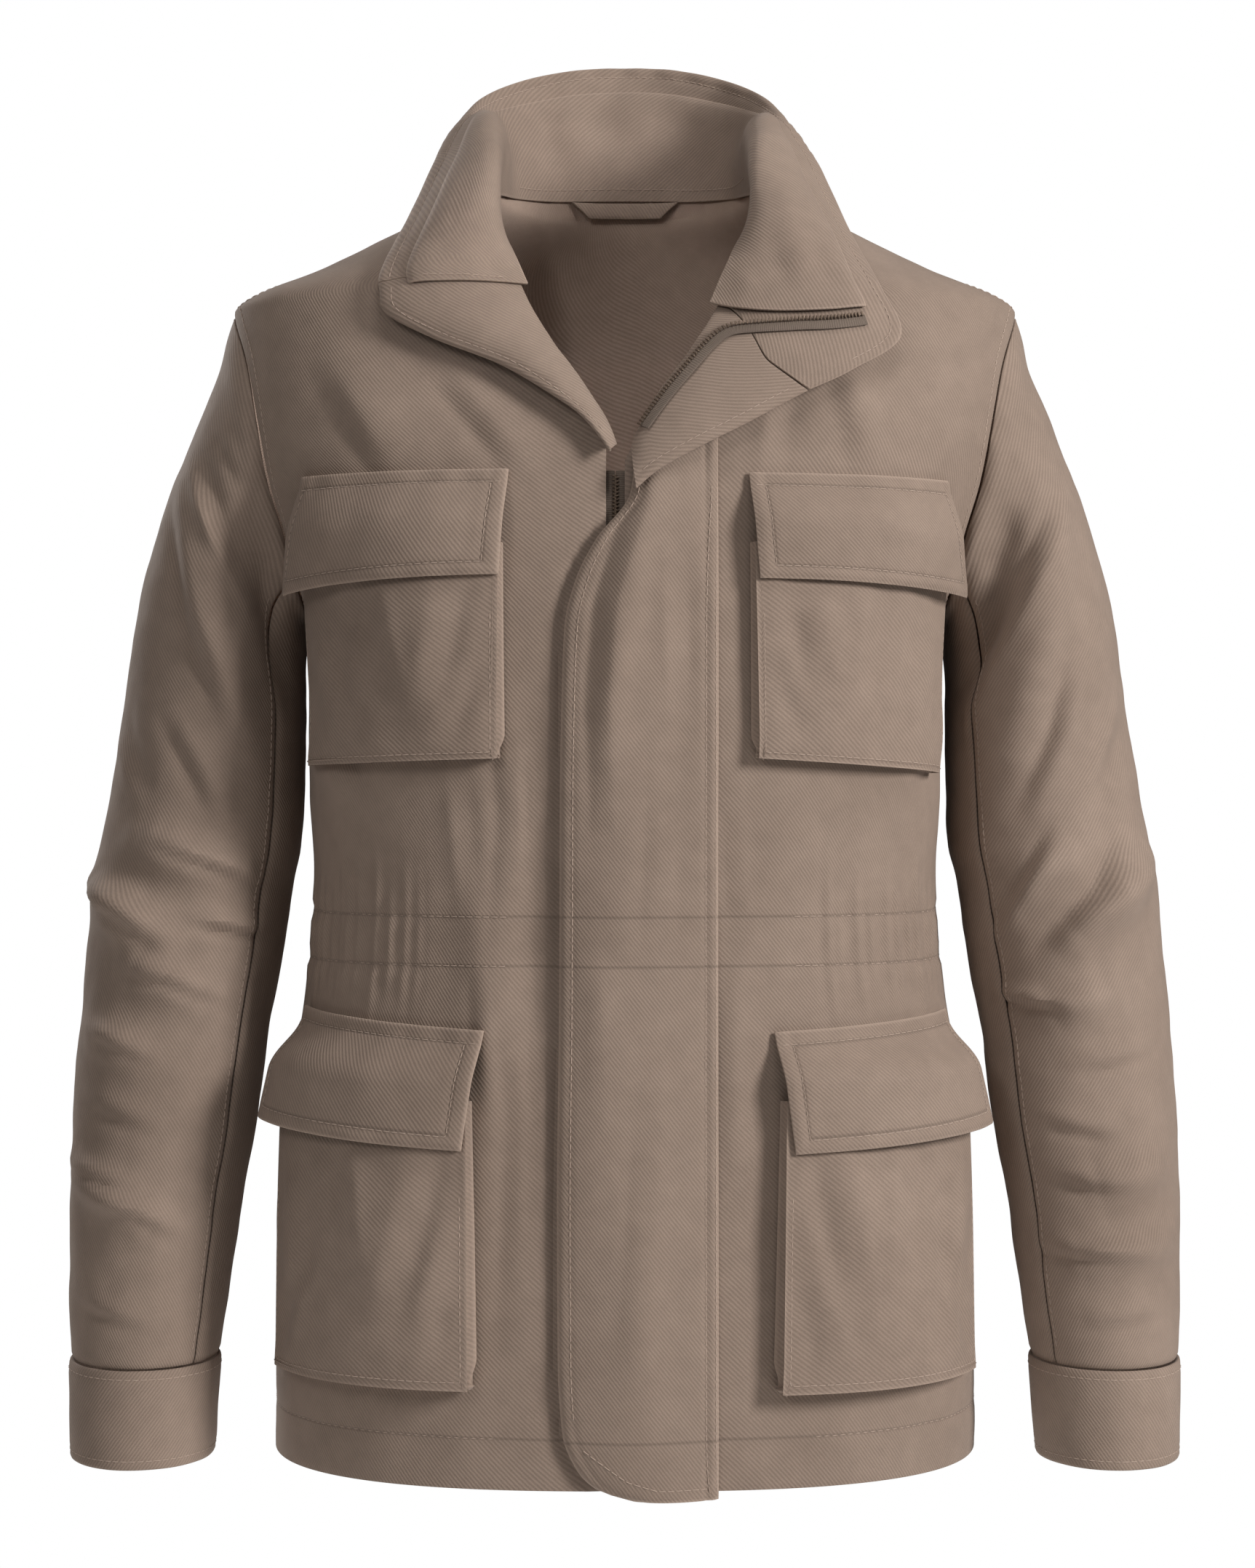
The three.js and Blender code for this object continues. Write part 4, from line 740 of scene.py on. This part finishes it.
def bag_place(data):
    side = data["side"]

    def place(u, v):
        across = clamp01((u - BELLOWS) / (1 - 2 * BELLOWS))
        down = clamp01(v / (1 - BELLOWS))
        beside = max(0, (BELLOWS - u) / BELLOWS, (u - 1 + BELLOWS) / BELLOWS)
        below = max(0, (v - 1 + BELLOWS) / BELLOWS)
        z = mix(data["top"], data["foot"] - data["drop"] * across, down)
        inner = mix(data["in_top"], data["in_foot"], down)
        outer = mix(data["out_top"], data["out_foot"], down)
        x = pocket_x(inner, outer, z, across)
        belly = data["belly"] * arch(mix(0.05, 0.95, across)) * ease(mix(0.3, 1.6, down))
        belly *= mix(1, 0.75, down)
        face_out = CLOTH + LIE + data["stand"] * mix(1, OUTER_STAND, ease(across)) + belly
        low = max(beside, below)
        out = mix(face_out, LIE, ease(low) ** 1.5 if low < 1 else 1)
        p, n = trunk(side * x, z, -1, 0)
        edge = min(across * (data["out_top"] - data["in_top"]), (1 - across) * 100, (1 - down) * 120)
        if low == 0:
            out += (wrinkle(p + Vector((0, 90, 0)), (26, 1.5)) + wrinkle(p, (11, 0.3))) * ease(edge / 10)
            out += crease_height(BAG_CREASES[data["name"]], across * 100, (1 - down) * 120) * ease(edge / 14)
            out -= 0.4 * bell((edge - 2.5) / 1.2)
        p = p + n * out
        if low > 0:
            tuck = -TUCK * arch(clamp01(low))
            pleat = -mix(*PLEAT, down) * math.sin(2 * math.pi * clamp01(beside))
            p.x += side * mix(tuck, pleat, ease((1 - down) * 9)) * beside / low * (1 if u > 0.5 else -1)
            p.z -= tuck * below / low
        return p, n, (u * BAG_ROUND * side, z * MM)

    return place


BAG_SIZE = 145


# The twill paints a pale line along these folds: partly wear, partly a painted highlight.
def bag_edges(u, v):
    """Distance to the nearest fold of a bag: the edge of its face, or its pleat."""
    inward = min(u, 1 - u)
    return BAG_SIZE * min(abs(inward - BELLOWS), abs(inward - BELLOWS / 4), abs(1 - BELLOWS - v))


# By shares of a hundred across a bag, and of 120 up it
BAG_CREASES = {
    "chest": (
        (9, 1.6, (22, 92), (30, 30)), (8, -1.4, (52, 96), (44, 40)), (9, 1.4, (82, 80), (72, 20)),
        (7, 1.0, (12, 60), (24, 14)),
    ),
    "lower": (
        (10, 2.0, (20, 100), (34, 36)), (9, -1.6, (56, 104), (50, 50)), (9, 1.6, (84, 92), (76, 26)),
        (8, 1.4, (8, 70), (20, 18)), (7, -1.2, (66, 60), (90, 12)),
    ),
}


FLAP_WIDE = 128  # a pocket flap's width
EDGE_IN = 7  # from its edges to their stitches
FLAP_TOP_IN = 7.5


def pocket_flap_place(data):
    side = data["side"]

    def place(u, v):
        z = mix(data["flap_top"] + data["flap_rise"] * u, data["flap_foot"] - data["flap_drop"] * u, v)
        inner = mix(data["flap_in"], data["flap_in_foot"], v)
        outer = mix(data["flap_out"], data["flap_out_foot"], v)
        x = pocket_x(inner, outer, z, u)
        cover = ease((data["flap_top"] - z) / (data["flap_top"] - data["top"] - 8))
        over = data["stand"] + data["belly"] * arch(u) * 0.9 + CLOTH + 1.2
        out = LIE + DOUBLE_CLOTH + 0.5 + over * cover + FLAP_LIFT * ease((u - 0.5) * 2) * v
        tall = data["flap_top"] - data["flap_foot"]
        from_top, from_foot = v * tall, (1 - v) * tall
        near = min(u * FLAP_WIDE, (1 - u) * FLAP_WIDE, from_foot)
        out += turned_edge(near, 1.1, 0.4, EDGE_IN, 1.6)
        out -= 0.4 * bell((from_top - FLAP_TOP_IN) / 1.6) + 0.8 * bell(from_top / 1.4)
        ripple = math.sin(u * FLAP_WIDE / 4.3 + 2.4 * math.sin(u * 7 + side))
        out += 0.34 * ripple * (bell((from_top - 4) / 4) + 0.7 * bell((from_foot - 3.5) / 4))
        p, n = trunk(side * x, z, -1, 0)
        start = side * 1.3 + (1 if data["name"] == "chest" else 2.1)
        soft = 0.8 * math.sin(u * 9 + start) * v * (1 - 0.3 * v)
        out += (wrinkle(p + Vector((0, 40, 0)), (22, 0.9)) + soft) * ease(near / 9)
        return p + n * out, n, (u * FLAP_WIDE * MM * side, z * MM)

    return place


def loop_place(u, v):
    t = u * 2 - 1
    x = t * mix(34, 23, v)
    z = 10 - 9 * v
    p, _ = trunk(x, z, 1, -2 * CLOTH - 1.7 - 3 * v)
    roll = 0.5 * bell(min(v, 1 - v) * 9)
    return p + Vector((0, roll, 0)), Vector((0, -1, 0)), (x * MM, z * MM)


# Zip

LAPEL_ZIP = (
    (23.98, 0.8), (24.36, 0.64), (24.68, 0.5), (25.2, 0.33), (25.9, 0.2), (26.6, 0.16), (27.6, 0.17),
    (28.4, 0.19), (29.0, 0.2),
)
TAPE_TOP = -176
TAPE_DEPTH = 1.4


def lapel_zip_path(t):
    points = [Vector((row, share)) for row, share in LAPEL_ZIP]
    return spline(points, t * (len(points) - 1))


def lapel_zip_frame(t):
    """The zip's place on the lapel: a point, the way out of the cloth and the way along."""
    row, share = lapel_zip_path(t)
    p, n = neck_point(row, share, TAPE + LIE)
    before = neck_point(*lapel_zip_path(max(0, t - 0.01)))[0]
    after = neck_point(*lapel_zip_path(min(1, t + 0.01)))[0]
    return p, n, (after - before).normalized()


def lapel_tape_place(u, v):
    p, n, along = lapel_zip_frame(v)
    across = n.cross(along)
    return p + across * mix(-3, 3, u), n, (u * 0.006, v * 0.18)


def tape_place(side):
    def place(u, v):
        z = mix(TAPE_TOP, HEM + 6, v)
        x = ZIP_LINE + side * mix(0.35, TAPE_WIDTH, u)
        p, n = trunk(x, z, -1, -CLOTH - TAPE_DEPTH)
        return p, n, (u * 0.012, z * MM)

    return place


# Making

FAR_FROM_EDGE = 100
SAME_PLACE = 0.00002  # metres
EDGE_ROUNDING = 0.28  # of a cloth's thickness

scene = bpy.context.scene
SIDES = ((-1, "left"), (1, "right"))


def add_object(name, bm, material):
    """Makes an object of a mesh, with one material."""
    mesh = bpy.data.meshes.new(name)
    bm.to_mesh(mesh)
    bm.free()
    mesh.materials.append(material)
    piece = bpy.data.objects.new(name, mesh)
    scene.collection.objects.link(piece)
    return piece


def fine_steps(count):
    return max(2, int(count * (1 if count < 30 else FINE)))


def cloth_piece(node, place, across, down, thickness, material, slot="shell", wrap=False, edge=None,
                inside=None):
    """A wall of cloth from a grid that is laid on its surface, with its outer face out.

    edge: the piece's width and height, or what gives the distance to its nearest edge.
    """
    bm = bmesh.new()
    bmesh.ops.create_grid(bm, x_segments=fine_steps(across), y_segments=fine_steps(down), size=0.5)
    uv = bm.loops.layers.uv.new("Cloth")
    edge_layer = bm.verts.layers.float.new("edge")
    flat = {}
    outward = {}
    for vert in bm.verts:
        u, v = round(clamp01(vert.co.x + 0.5), 6), round(clamp01(0.5 - vert.co.y), 6)
        p, outward[vert], flat[vert] = place(u, v)
        if callable(edge):
            vert[edge_layer] = edge(u, v)
        elif edge:
            vert[edge_layer] = min(u * edge[0], (1 - u) * edge[0], v * edge[1], (1 - v) * edge[1])
        else:
            vert[edge_layer] = FAR_FROM_EDGE
        vert.co = p * MM
    for face in bm.faces:
        face.smooth = True
        for loop in face.loops:
            loop[uv].uv = flat[loop.vert]
    bm.normal_update()
    if sum(face.normal.dot(outward[face.verts[0]]) for face in bm.faces) < 0:
        bmesh.ops.reverse_faces(bm, faces=bm.faces)
    if wrap:
        bmesh.ops.remove_doubles(bm, verts=bm.verts, dist=SAME_PLACE)
    piece = add_object(slot + "_" + node.replace("zip_tape_", ""), bm, material)
    solid = piece.modifiers.new("thickness", "SOLIDIFY")
    solid.thickness = thickness * MM
    solid.offset = -1
    if inside:
        piece.data.materials.append(inside)
        solid.material_offset = 1
    soften = piece.modifiers.new("soft edge", "BEVEL")
    soften.width = EDGE_ROUNDING * thickness * MM
    soften.segments = 2
    soften.limit_method = "ANGLE"
    soften.angle_limit = math.radians(50)
    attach(piece, "root")
    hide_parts(node)


STITCH = 3.3
STITCH_GAP = 1.3
THREAD = 0.28
STITCH_BEND = (-0.02, 0.26, -0.02)  # heights of a stitch's ends and middle over the cloth


def stitch_row(name, places):
    """A row of stitches along points of a surface, each given as a point and the way out of the cloth.

    Each stitch is a short bent thread that dips into the cloth at both ends.
    """
    curve = bpy.data.curves.new(name, "CURVE")
    curve.dimensions = "3D"
    curve.bevel_depth = THREAD * MM
    curve.bevel_resolution = 0
    curve.use_fill_caps = True
    lengths = [0.0]
    for (a, _), (b, _) in zip(places, places[1:]):
        lengths.append(lengths[-1] + (b - a).length)

    def at(length):
        i = min(len(lengths) - 2, bisect(lengths, length) - 1)
        t = (length - lengths[i]) / (lengths[i + 1] - lengths[i] or 1)
        return places[i][0].lerp(places[i + 1][0], t), places[i][1].lerp(places[i + 1][1], t).normalized()

    start = 1.0
    while start + STITCH < lengths[-1]:
        line = curve.splines.new("POLY")
        line.points.add(2)
        for k, lift in enumerate(STITCH_BEND):
            p, n = at(start + STITCH * k / 2)
            line.points[k].co = (*((p + n * lift) * MM), 1)
        start += STITCH + STITCH_GAP
    curve.materials.append(thread)
    piece = bpy.data.objects.new(name, curve)
    scene.collection.objects.link(piece)
    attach(piece, "root")


def run_of(place, path, count):
    """Points of a surface along a path of shares (u, v)."""
    points = []
    steps = max(2, int(count * FINE))
    for (u0, v0), (u1, v1) in zip(path, path[1:]):
        for k in range(steps + 1):
            points.append(place(mix(u0, u1, k / steps), mix(v0, v1, k / steps))[:2])
    return points


# Materials


class Nodes:
    """The nodes of a material or of the world, with short ways to add to them."""

    def __init__(self, owner):
        owner.use_nodes = True
        self.tree = owner.node_tree

    def feed(self, socket, value):
        """Links an output to a socket, or sets the socket's value."""
        if isinstance(value, bpy.types.NodeSocket):
            self.tree.links.new(value, socket)
        else:
            socket.default_value = (*value, 1) if socket.type == "RGBA" else value

    def shade(self, **values):
        """Feeds the inputs of the surface's shader. Their names have _ for each space."""
        shader = self.tree.nodes["Principled BSDF"]
        for key, value in values.items():
            self.feed(shader.inputs[key.replace("_", " ")], value)

    def add(self, kind, inputs=None, out=0, **settings):
        """A new node. Gives one of its outputs."""
        node = self.tree.nodes.new("ShaderNode" + kind)
        for key, value in settings.items():
            setattr(node, key, value)
        for key, value in (inputs or {}).items():
            self.feed(node.inputs[key], value)
        return node.outputs[out] if node.outputs else None

    def maths(self, operation, a, b=0, clamp=False):
        return self.add("Math", {0: a, 1: b}, operation=operation, use_clamp=clamp)

    def noise(self, vector, scale, detail=2.0, rough=0.5):
        inputs = {"Vector": vector, "Scale": scale, "Detail": detail, "Roughness": rough}
        return self.add("TexNoise", inputs, "Fac")

    def ramp(self, value, *stops):
        """Colour by a value. stops: two pairs of a place and a colour."""
        colour = self.add("ValToRGB", {"Fac": value})
        for element, (place, shade) in zip(colour.node.color_ramp.elements, stops):
            element.position = place
            element.color = (*shade, 1)
        return colour

    def blend(self, kind, factor, a, b):
        return self.add("Mix", {0: factor, 6: a, 7: b}, 2, data_type="RGBA", blend_type=kind)

    def line(self, value, middle, half):
        """1 on a line across a value, and 0 from half a width off it."""
        away = self.maths("ABSOLUTE", self.maths("SUBTRACT", value, middle))
        return self.maths("SUBTRACT", 1, self.maths("DIVIDE", away, half), clamp=True)


def new_material(name):
    material = bpy.data.materials.new(name)
    return material, Nodes(material)


WORN_AND_HIGHLIGHT_WIDTH = 1.7  # of the pale line along edges and folds, partly wear and partly painted highlight
TROUGH_HALF = 1.3  # half the width of a stitched trough


def twill(name, base, dark, light, pitch=0.0017, slant=52, levels=(), inset=None):
    """A washed cotton twill: slanting ribs, uneven dye, pale edges that are partly wear and partly painted
    highlight, and the troughs of its stitches, with painted shade in them.
    """
    material, cloth = new_material(name)
    flat = cloth.add("UVMap", uv_map="Cloth")
    turned = cloth.add("Mapping", {"Vector": flat, "Rotation": (0, 0, math.radians(slant))})
    place = cloth.add("TexCoord", out="Object")
    edge = cloth.add("Attribute", out="Fac", attribute_name="edge")
    rib_inputs = {"Vector": turned, "Scale": math.pi / (10 * pitch), "Distortion": 0.9, "Detail Scale": 3.0}
    ribs = cloth.add("TexWave", rib_inputs, "Fac", wave_type="BANDS", bands_direction="Y", wave_profile="SIN")
    yarn = cloth.noise(turned, 1500, 1.0)
    cloudy = cloth.noise(place, 9, 4.0, 0.6)
    mottled = cloth.noise(place, 85, 3.0, 0.6)
    colour = cloth.blend("MIX", 0.55, cloth.ramp(cloudy, (0.3, dark), (0.72, light)), base)
    for share, value, low, high in (
        (0.5, mottled, (0.3, (0.86, 0.85, 0.84)), (0.75, (1.08, 1.07, 1.06))),
        (0.62, ribs, (0.15, (0.76, 0.75, 0.74)), (0.85, (1.1, 1.1, 1.1))),
        (0.4, yarn, (0.3, (0.84, 0.83, 0.82)), (0.7, (1.1, 1.1, 1.1))),
    ):
        colour = cloth.blend("MULTIPLY", share, colour, cloth.ramp(value, low, high))
    # Pale line along edges and folds: partly wear, partly a painted highlight.
    wear_and_highlight = cloth.maths("MULTIPLY", cloth.line(edge, 0, WORN_AND_HIGHLIGHT_WIDTH), 0.5)
    colour = cloth.blend("MIX", wear_and_highlight, colour, tuple(c * 1.35 for c in light))
    height = cloth.maths("ADD", cloth.maths("MULTIPLY", ribs, 0.6), cloth.maths("MULTIPLY", yarn, 0.4))
    up = cloth.add("SeparateXYZ", {0: place}, "Z")
    troughs = [cloth.line(up, level * MM, TROUGH_HALF * MM) for level in levels]
    if inset:
        troughs.append(cloth.line(edge, inset, 1.2))
    # Painted shade: each stitched trough is darkened towards this shadow colour, and is also sunk in the
    # bump.
    shadow = tuple(c * 0.55 for c in dark)
    for trough in troughs:
        colour = cloth.blend("MIX", cloth.maths("MULTIPLY", trough, 0.45), colour, shadow)
        height = cloth.maths("SUBTRACT", height, cloth.maths("MULTIPLY", trough, 1.6))
    bumpy = cloth.add("Bump", {"Height": height, "Strength": 0.55, "Distance": 0.00035})
    cloth.shade(Roughness=0.86, Specular_IOR_Level=0.28, Sheen_Weight=0.07, Sheen_Roughness=0.55,
                Sheen_Tint=(0.93, 0.88, 0.84), Normal=bumpy, Base_Color=colour)
    return material


def plain_metal(name, colour, roughness):
    """Dull plated metal, a little uneven."""
    material, plate = new_material(name)
    grain = plate.noise(plate.add("TexCoord", out="Object"), 900)
    uneven = plate.add("MapRange", {"Value": grain, "To Min": roughness - 0.1, "To Max": roughness + 0.1})
    tone = plate.ramp(grain, (0, tuple(c * 0.6 for c in colour)), (1, colour))
    plate.shade(Metallic=1.0, Roughness=uneven, Base_Color=tone)
    return material


BASE = (0.264, 0.196, 0.154)
DARK = (0.21, 0.153, 0.118)
LIGHT = (0.32, 0.241, 0.191)
shell = twill("shell twill", BASE, DARK, LIGHT, levels=(*WAIST_STITCHES, HEM_STITCH))
sleeve_cloth = twill("sleeve twill", BASE, DARK, LIGHT)
edged = twill("edged twill", BASE, DARK, LIGHT, inset=EDGE_IN)
collar_cloth = twill("collar twill", BASE, DARK, LIGHT, slant=-40, pitch=0.0021)
right_cloth = twill("right lapel twill", BASE, DARK, LIGHT, slant=50)
# The inner faces: the same twill, painted lighter than the shell to stand in for light reaching the inside.
brightened_inside_twill = twill("inside twill painted lighter", (0.42, 0.312, 0.25), (0.36, 0.267, 0.212), (0.48, 0.36, 0.29))
tape_cloth = twill(
    "zip tape", (0.15, 0.113, 0.09), (0.12, 0.09, 0.07), (0.18, 0.14, 0.11), pitch=0.0012, slant=0)
thread = twill("thread", (0.33, 0.25, 0.2), (0.28, 0.21, 0.165), (0.38, 0.29, 0.235), pitch=0.0009)
metal = plain_metal("dull brass", (0.27, 0.2, 0.15), 0.42)

SEAM_ROWS = 0.02  # from a seam of the neck to the edge of each piece, in rows


def top_sleeve_place(side):
    return sleeve_place(side, -HEAD_SEAM, HEAD_SEAM, BACK_SLEEVE_SEAM - 360, FRONT_SLEEVE_SEAM)


def under_sleeve_place(side):
    return sleeve_place(side, HEAD_SEAM, 360 - HEAD_SEAM, FRONT_SLEEVE_SEAM, BACK_SLEEVE_SEAM)


for side, word in SIDES:
    cloth_piece("front_" + word, front_place(side), 130, 170, CLOTH, shell, inside=brightened_inside_twill)
    cloth_piece("top_sleeve_" + word, top_sleeve_place(side), 110, 210, CLOTH, sleeve_cloth, inside=brightened_inside_twill)
    cloth_piece("under_sleeve_" + word, under_sleeve_place(side), 28, 150, CLOTH, sleeve_cloth)
    cloth_piece("cuff_" + word, cuff_place(side), 96, 26, DOUBLE_CLOTH, sleeve_cloth, wrap=True)
cloth_piece("back", back_place, 160, 170, CLOTH, shell, inside=brightened_inside_twill)
cloth_piece(
    "collar_outer",
    neck_place(lambda s: LEFT_COLLAR_SEAM + SEAM_ROWS, lambda s: right_seam(s) - SEAM_ROWS,
               0, 1, 0, collar_rise),
    190, 60, CLOTH, collar_cloth, edge=(560, 95))
cloth_piece(
    "facing_left", neck_place(lambda s: 0, lambda s: LEFT_COLLAR_SEAM - SEAM_ROWS, 0, 1, 0, facing_rise),
    70, 32, CLOTH, collar_cloth)
cloth_piece(
    "facing_right",
    neck_place(lambda s: right_seam(s) + SEAM_ROWS, lambda s: len(NECK_ROWS) - 1, 0, 1, 0, facing_rise),
    60, 32, CLOTH, right_cloth)
cloth_piece(
    "collar_inner",
    neck_place(lambda s: INNER_COLLAR_LEFT + 0.5 * s,
               lambda s: mix(INNER_COLLAR_RIGHT, INNER_COLLAR_RIGHT_TOP, s / INNER_COLLAR_HEIGHT),
               INNER_COLLAR_FOOT, INNER_COLLAR_HEIGHT, INNER_OUT, inner_rise),
    190, 50, CLOTH, collar_cloth, edge=(560, 78))
cloth_piece("hanger_loop", loop_place, 24, 6, CLOTH, sleeve_cloth)
cloth_piece("storm_flap", flap_place, 72, 200, CLOTH, shell, edge=(86, 614))
for data in POCKETS:
    bag, flap = (data["name"] + part + dict(SIDES)[data["side"]] for part in ("_pocket_", "_flap_"))
    cloth_piece(bag, bag_place(data), 60, 60, CLOTH, sleeve_cloth, wrap=True, edge=bag_edges)
    cloth_piece(flap, pocket_flap_place(data), 84, 42, DOUBLE_CLOTH, edged, edge=(FLAP_WIDE, 58))
cloth_piece("zip_tape_lapel", lapel_tape_place, 4, 90, TAPE, tape_cloth, "tape")
for side, word in SIDES:
    cloth_piece("zip_tape_" + word, tape_place(side), 5, 120, TAPE, tape_cloth, "tape")

# Sewing: rows of stitches, each as points of a piece's surface


def sew_trunk():
    """The drawn waist, the hem and the side of each front, and the same round the back."""
    rows = []
    above = ARM_SHARE - 0.02
    for level in (*WAIST_STITCHES, HEM_STITCH):
        v = ARM_SHARE + (1 - ARM_SHARE) * (level - ARMPIT) / (HEM - ARMPIT)
        for side, start in ((-1, 0.14), (1, 0.27)):
            rows.append(run_of(front_place(side), [(start, v), (0.99, v)], 160))
        rows.append(run_of(back_place, [(0.005, v), (0.995, v)], 260))
    for side, _ in SIDES:
        rows.append(run_of(front_place(side), [(0.955, 0.01), (0.955, above)], 60))
        rows.append(run_of(front_place(side), [(0.1, 0.012), (0.98, 0.012)], 50))
    for u in (0.022, 0.978):
        rows.append(run_of(back_place, [(u, 0.02), (u, above)], 60))
    return rows


def sew_flap():
    foot = 1 - FLAP_FOOT_INSET / (FLAP_TOP - FLAP_FOOT)
    wide = FLAP_SEAM + 35
    edge = FLAP_INSET / wide
    rows = [
        run_of(flap_place, [(edge * 1.15, 0.1), (edge, 0.3), (edge, 0.93)], 120),
        run_of(flap_place, [(edge * 1.3, 0.955), (0.32, foot - 0.008), (0.5, foot), (0.95, foot)], 30),
    ]
    for u in (1 - edge, 1 - 1.6 / wide):
        rows.append(run_of(flap_place, [(u, 0.12), (u, 0.995)], 160))
    return rows


def sew_neck():
    def neck_run(from_row, to_row, share_at, out, rise_at, count=200):
        points = []
        for k in range(count + 1):
            row = mix(from_row, to_row, k / count)
            share = share_at(row)
            p, n = neck_point(row, share)
            points.append((p + n * (out + rise_at(row, share, p)), n))
        return points

    def inset(row):
        return 1 - COLLAR_INSET / neck_width(row)

    def up_the_wing(row):
        return mix(0.12, 0.74, (row - 5.9) / (6.25 - 5.9))

    return [
        neck_run(6.5, 24.9, inset, 0, collar_rise, 420),
        neck_run(0.6, 6.3, inset, 0, facing_rise),
        neck_run(26.1, 29.6, inset, 0, facing_rise),
        neck_run(12, 19, lambda row: 0.05, INNER_OUT, inner_rise),
        neck_run(5.9, 6.25, up_the_wing, INNER_OUT, inner_rise, 60),
    ]


def sew_pocket(data):
    flap, bag = pocket_flap_place(data), bag_place(data)
    tall = data["flap_top"] - data["flap_foot"]
    u0, v0, v1 = EDGE_IN / FLAP_WIDE, FLAP_TOP_IN / tall, 1 - EDGE_IN / tall
    inset = BELLOWS + 0.022
    return [
        run_of(flap, [(0.015, v0), (0.985, v0)], 70),
        run_of(flap, [(u0, v0), (u0, v1), (1 - u0, v1), (1 - u0, v0)], 50),
        run_of(bag, [(inset, 0.3), (inset, 0.9), (1 - inset, 0.9), (1 - inset, 0.3)], 50),
    ]


def sew_sleeves():
    rows = []
    for side, _ in SIDES:
        rows.append(run_of(top_sleeve_place(side), [(0.984, 0.12), (0.984, 0.99)], 160))
        for v in (0.905, 0.09):
            rows.append(run_of(cuff_place(side), [(0, v), (1, v)], 120))
    return rows


SEWN = {
    "trunk_stitches": sew_trunk(), "storm_flap_stitches": sew_flap(), "collar_stitches": sew_neck(),
    "sleeve_stitches": sew_sleeves(),
}
for data in POCKETS:
    SEWN[data["name"] + "_pocket_stitches_" + dict(SIDES)[data["side"]]] = sew_pocket(data)
for name, rows in SEWN.items():
    for k, row in enumerate(rows):
        stitch_row(name + "_" + str(k + 1), row)

# Teeth of the zip

TOOTH_PITCH = 2.0
TOOTH = (1.25, 2.6, 1.3)  # along the zip, across it and out of the tape
TOOTH_TIP = 0.62  # the share of its length that is left at its outer end
FRONT_TEETH = 60
LAPEL_STEPS = 1600


def zip_teeth(name, frames):
    """Teeth on the edge of a tape. frames: place, way out of the cloth and way along, for each tooth."""
    bm = bmesh.new()
    for p, out, along in frames:
        across = out.cross(along).normalized()
        for vert in bmesh.ops.create_cube(bm, size=1.0)["verts"]:
            a, b, c = (part * size for part, size in zip(vert.co, TOOTH))
            vert.co = (p + along * (a * (TOOTH_TIP if b > 0 else 1.0)) + across * b + out * c) * MM
    piece = add_object(name, bm, metal)
    soften = piece.modifiers.new("soft edge", "BEVEL")
    soften.width = 0.25 * MM
    soften.segments = 1
    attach(piece, "root")


lapel_frames = []
walked, last_place = 0.0, lapel_zip_frame(0)[0]
for k in range(1, LAPEL_STEPS):
    p, out, along = lapel_zip_frame(k / LAPEL_STEPS)
    walked += (p - last_place).length
    last_place = p
    if walked >= TOOTH_PITCH:
        walked -= TOOTH_PITCH
        lapel_frames.append((p + out * 0.7 - out.cross(along) * 3.2, out, along))
zip_teeth("lapel_zip_teeth", lapel_frames)
front_frames = []
for k in range(FRONT_TEETH):
    z = TAPE_TOP - 3 - k * TOOTH_PITCH
    for side, _ in SIDES:
        p, out = trunk(ZIP_LINE + side * 0.6, z - (side + 1) * TOOTH_PITCH / 4, -1, -CLOTH - TAPE_DEPTH + 0.5)
        front_frames.append((p, out, Vector((0, 0, -side))))
zip_teeth("front_zip_teeth", front_frames)

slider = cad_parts["zip_slider"]
slider.data.materials.clear()
slider.data.materials.append(metal)

# Camera, lights and surroundings

scene.view_settings.view_transform = "Standard"
scene.view_settings.look = "None"

FOCAL_PIXELS = 3776
PICTURE_HEIGHT = 2156
camera_data = bpy.data.cameras.new("camera")
camera = bpy.data.objects.new("camera", camera_data)
scene.collection.objects.link(camera)
camera.location = (0.0015, -1.6, -0.345)
camera.rotation_euler = (math.radians(90), 0, 0)
camera_data.sensor_width = 36
camera_data.lens = 36 * FOCAL_PIXELS / PICTURE_HEIGHT
scene.camera = camera

scene.world = bpy.data.worlds.new("studio")
sky = Nodes(scene.world)
sky.tree.nodes.clear()
soft = sky.add("Background", {"Color": (1, 0.985, 0.97), "Strength": 0.15})
seen = sky.add("Background", {"Color": (1, 1, 1), "Strength": 1.0})
either = sky.add("MixShader", {0: sky.add("LightPath", out="Is Camera Ray"), 1: soft, 2: seen})
sky.add("OutputWorld", {0: either})


def soft_light(name, place, towards, size, watts, spread=180):
    """A soft lamp that faces a point, with the angle that its light spreads over."""
    data = bpy.data.lights.new(name, "AREA")
    data.shape = "RECTANGLE"
    data.size, data.size_y = size
    data.energy = watts
    data.spread = math.radians(spread)
    lamp = bpy.data.objects.new(name, data)
    scene.collection.objects.link(lamp)
    lamp.location = place
    lamp.rotation_euler = (Vector(towards) - Vector(place)).to_track_quat("-Z", "Y").to_euler()


soft_light("key", (1.8, -1.3, 0.42), (0, 0, -0.35), (0.5, 0.7), 54)
soft_light("fill", (-1.1, -1.9, 0.75), (-0.1, 0, -0.2), (0.7, 0.7), 9)
soft_light("top", (0.2, -0.7, 1.4), (0, 0.05, -0.1), (0.6, 0.4), 7)
soft_light("neck", (-0.25, -1.1, 0.35), (0.0, 0.08, -0.09), (0.1, 0.1), 0.02, spread=14)
soft_light("rear", (-1.5, 1.6, 0.7), (0, 0.1, -0.3), (0.8, 1.0), 30)

floor_material, floor_nodes = new_material("pale floor")
floor_nodes.shade(Base_Color=(0.9, 0.9, 0.9), Emission_Color=(1, 1, 1), Emission_Strength=0.3)
floor_mesh = bmesh.new()
bmesh.ops.create_grid(floor_mesh, x_segments=2, y_segments=2, size=1.1)
bmesh.ops.translate(floor_mesh, verts=floor_mesh.verts, vec=(0, 0, -1.15))
add_object("floor", floor_mesh, floor_material)
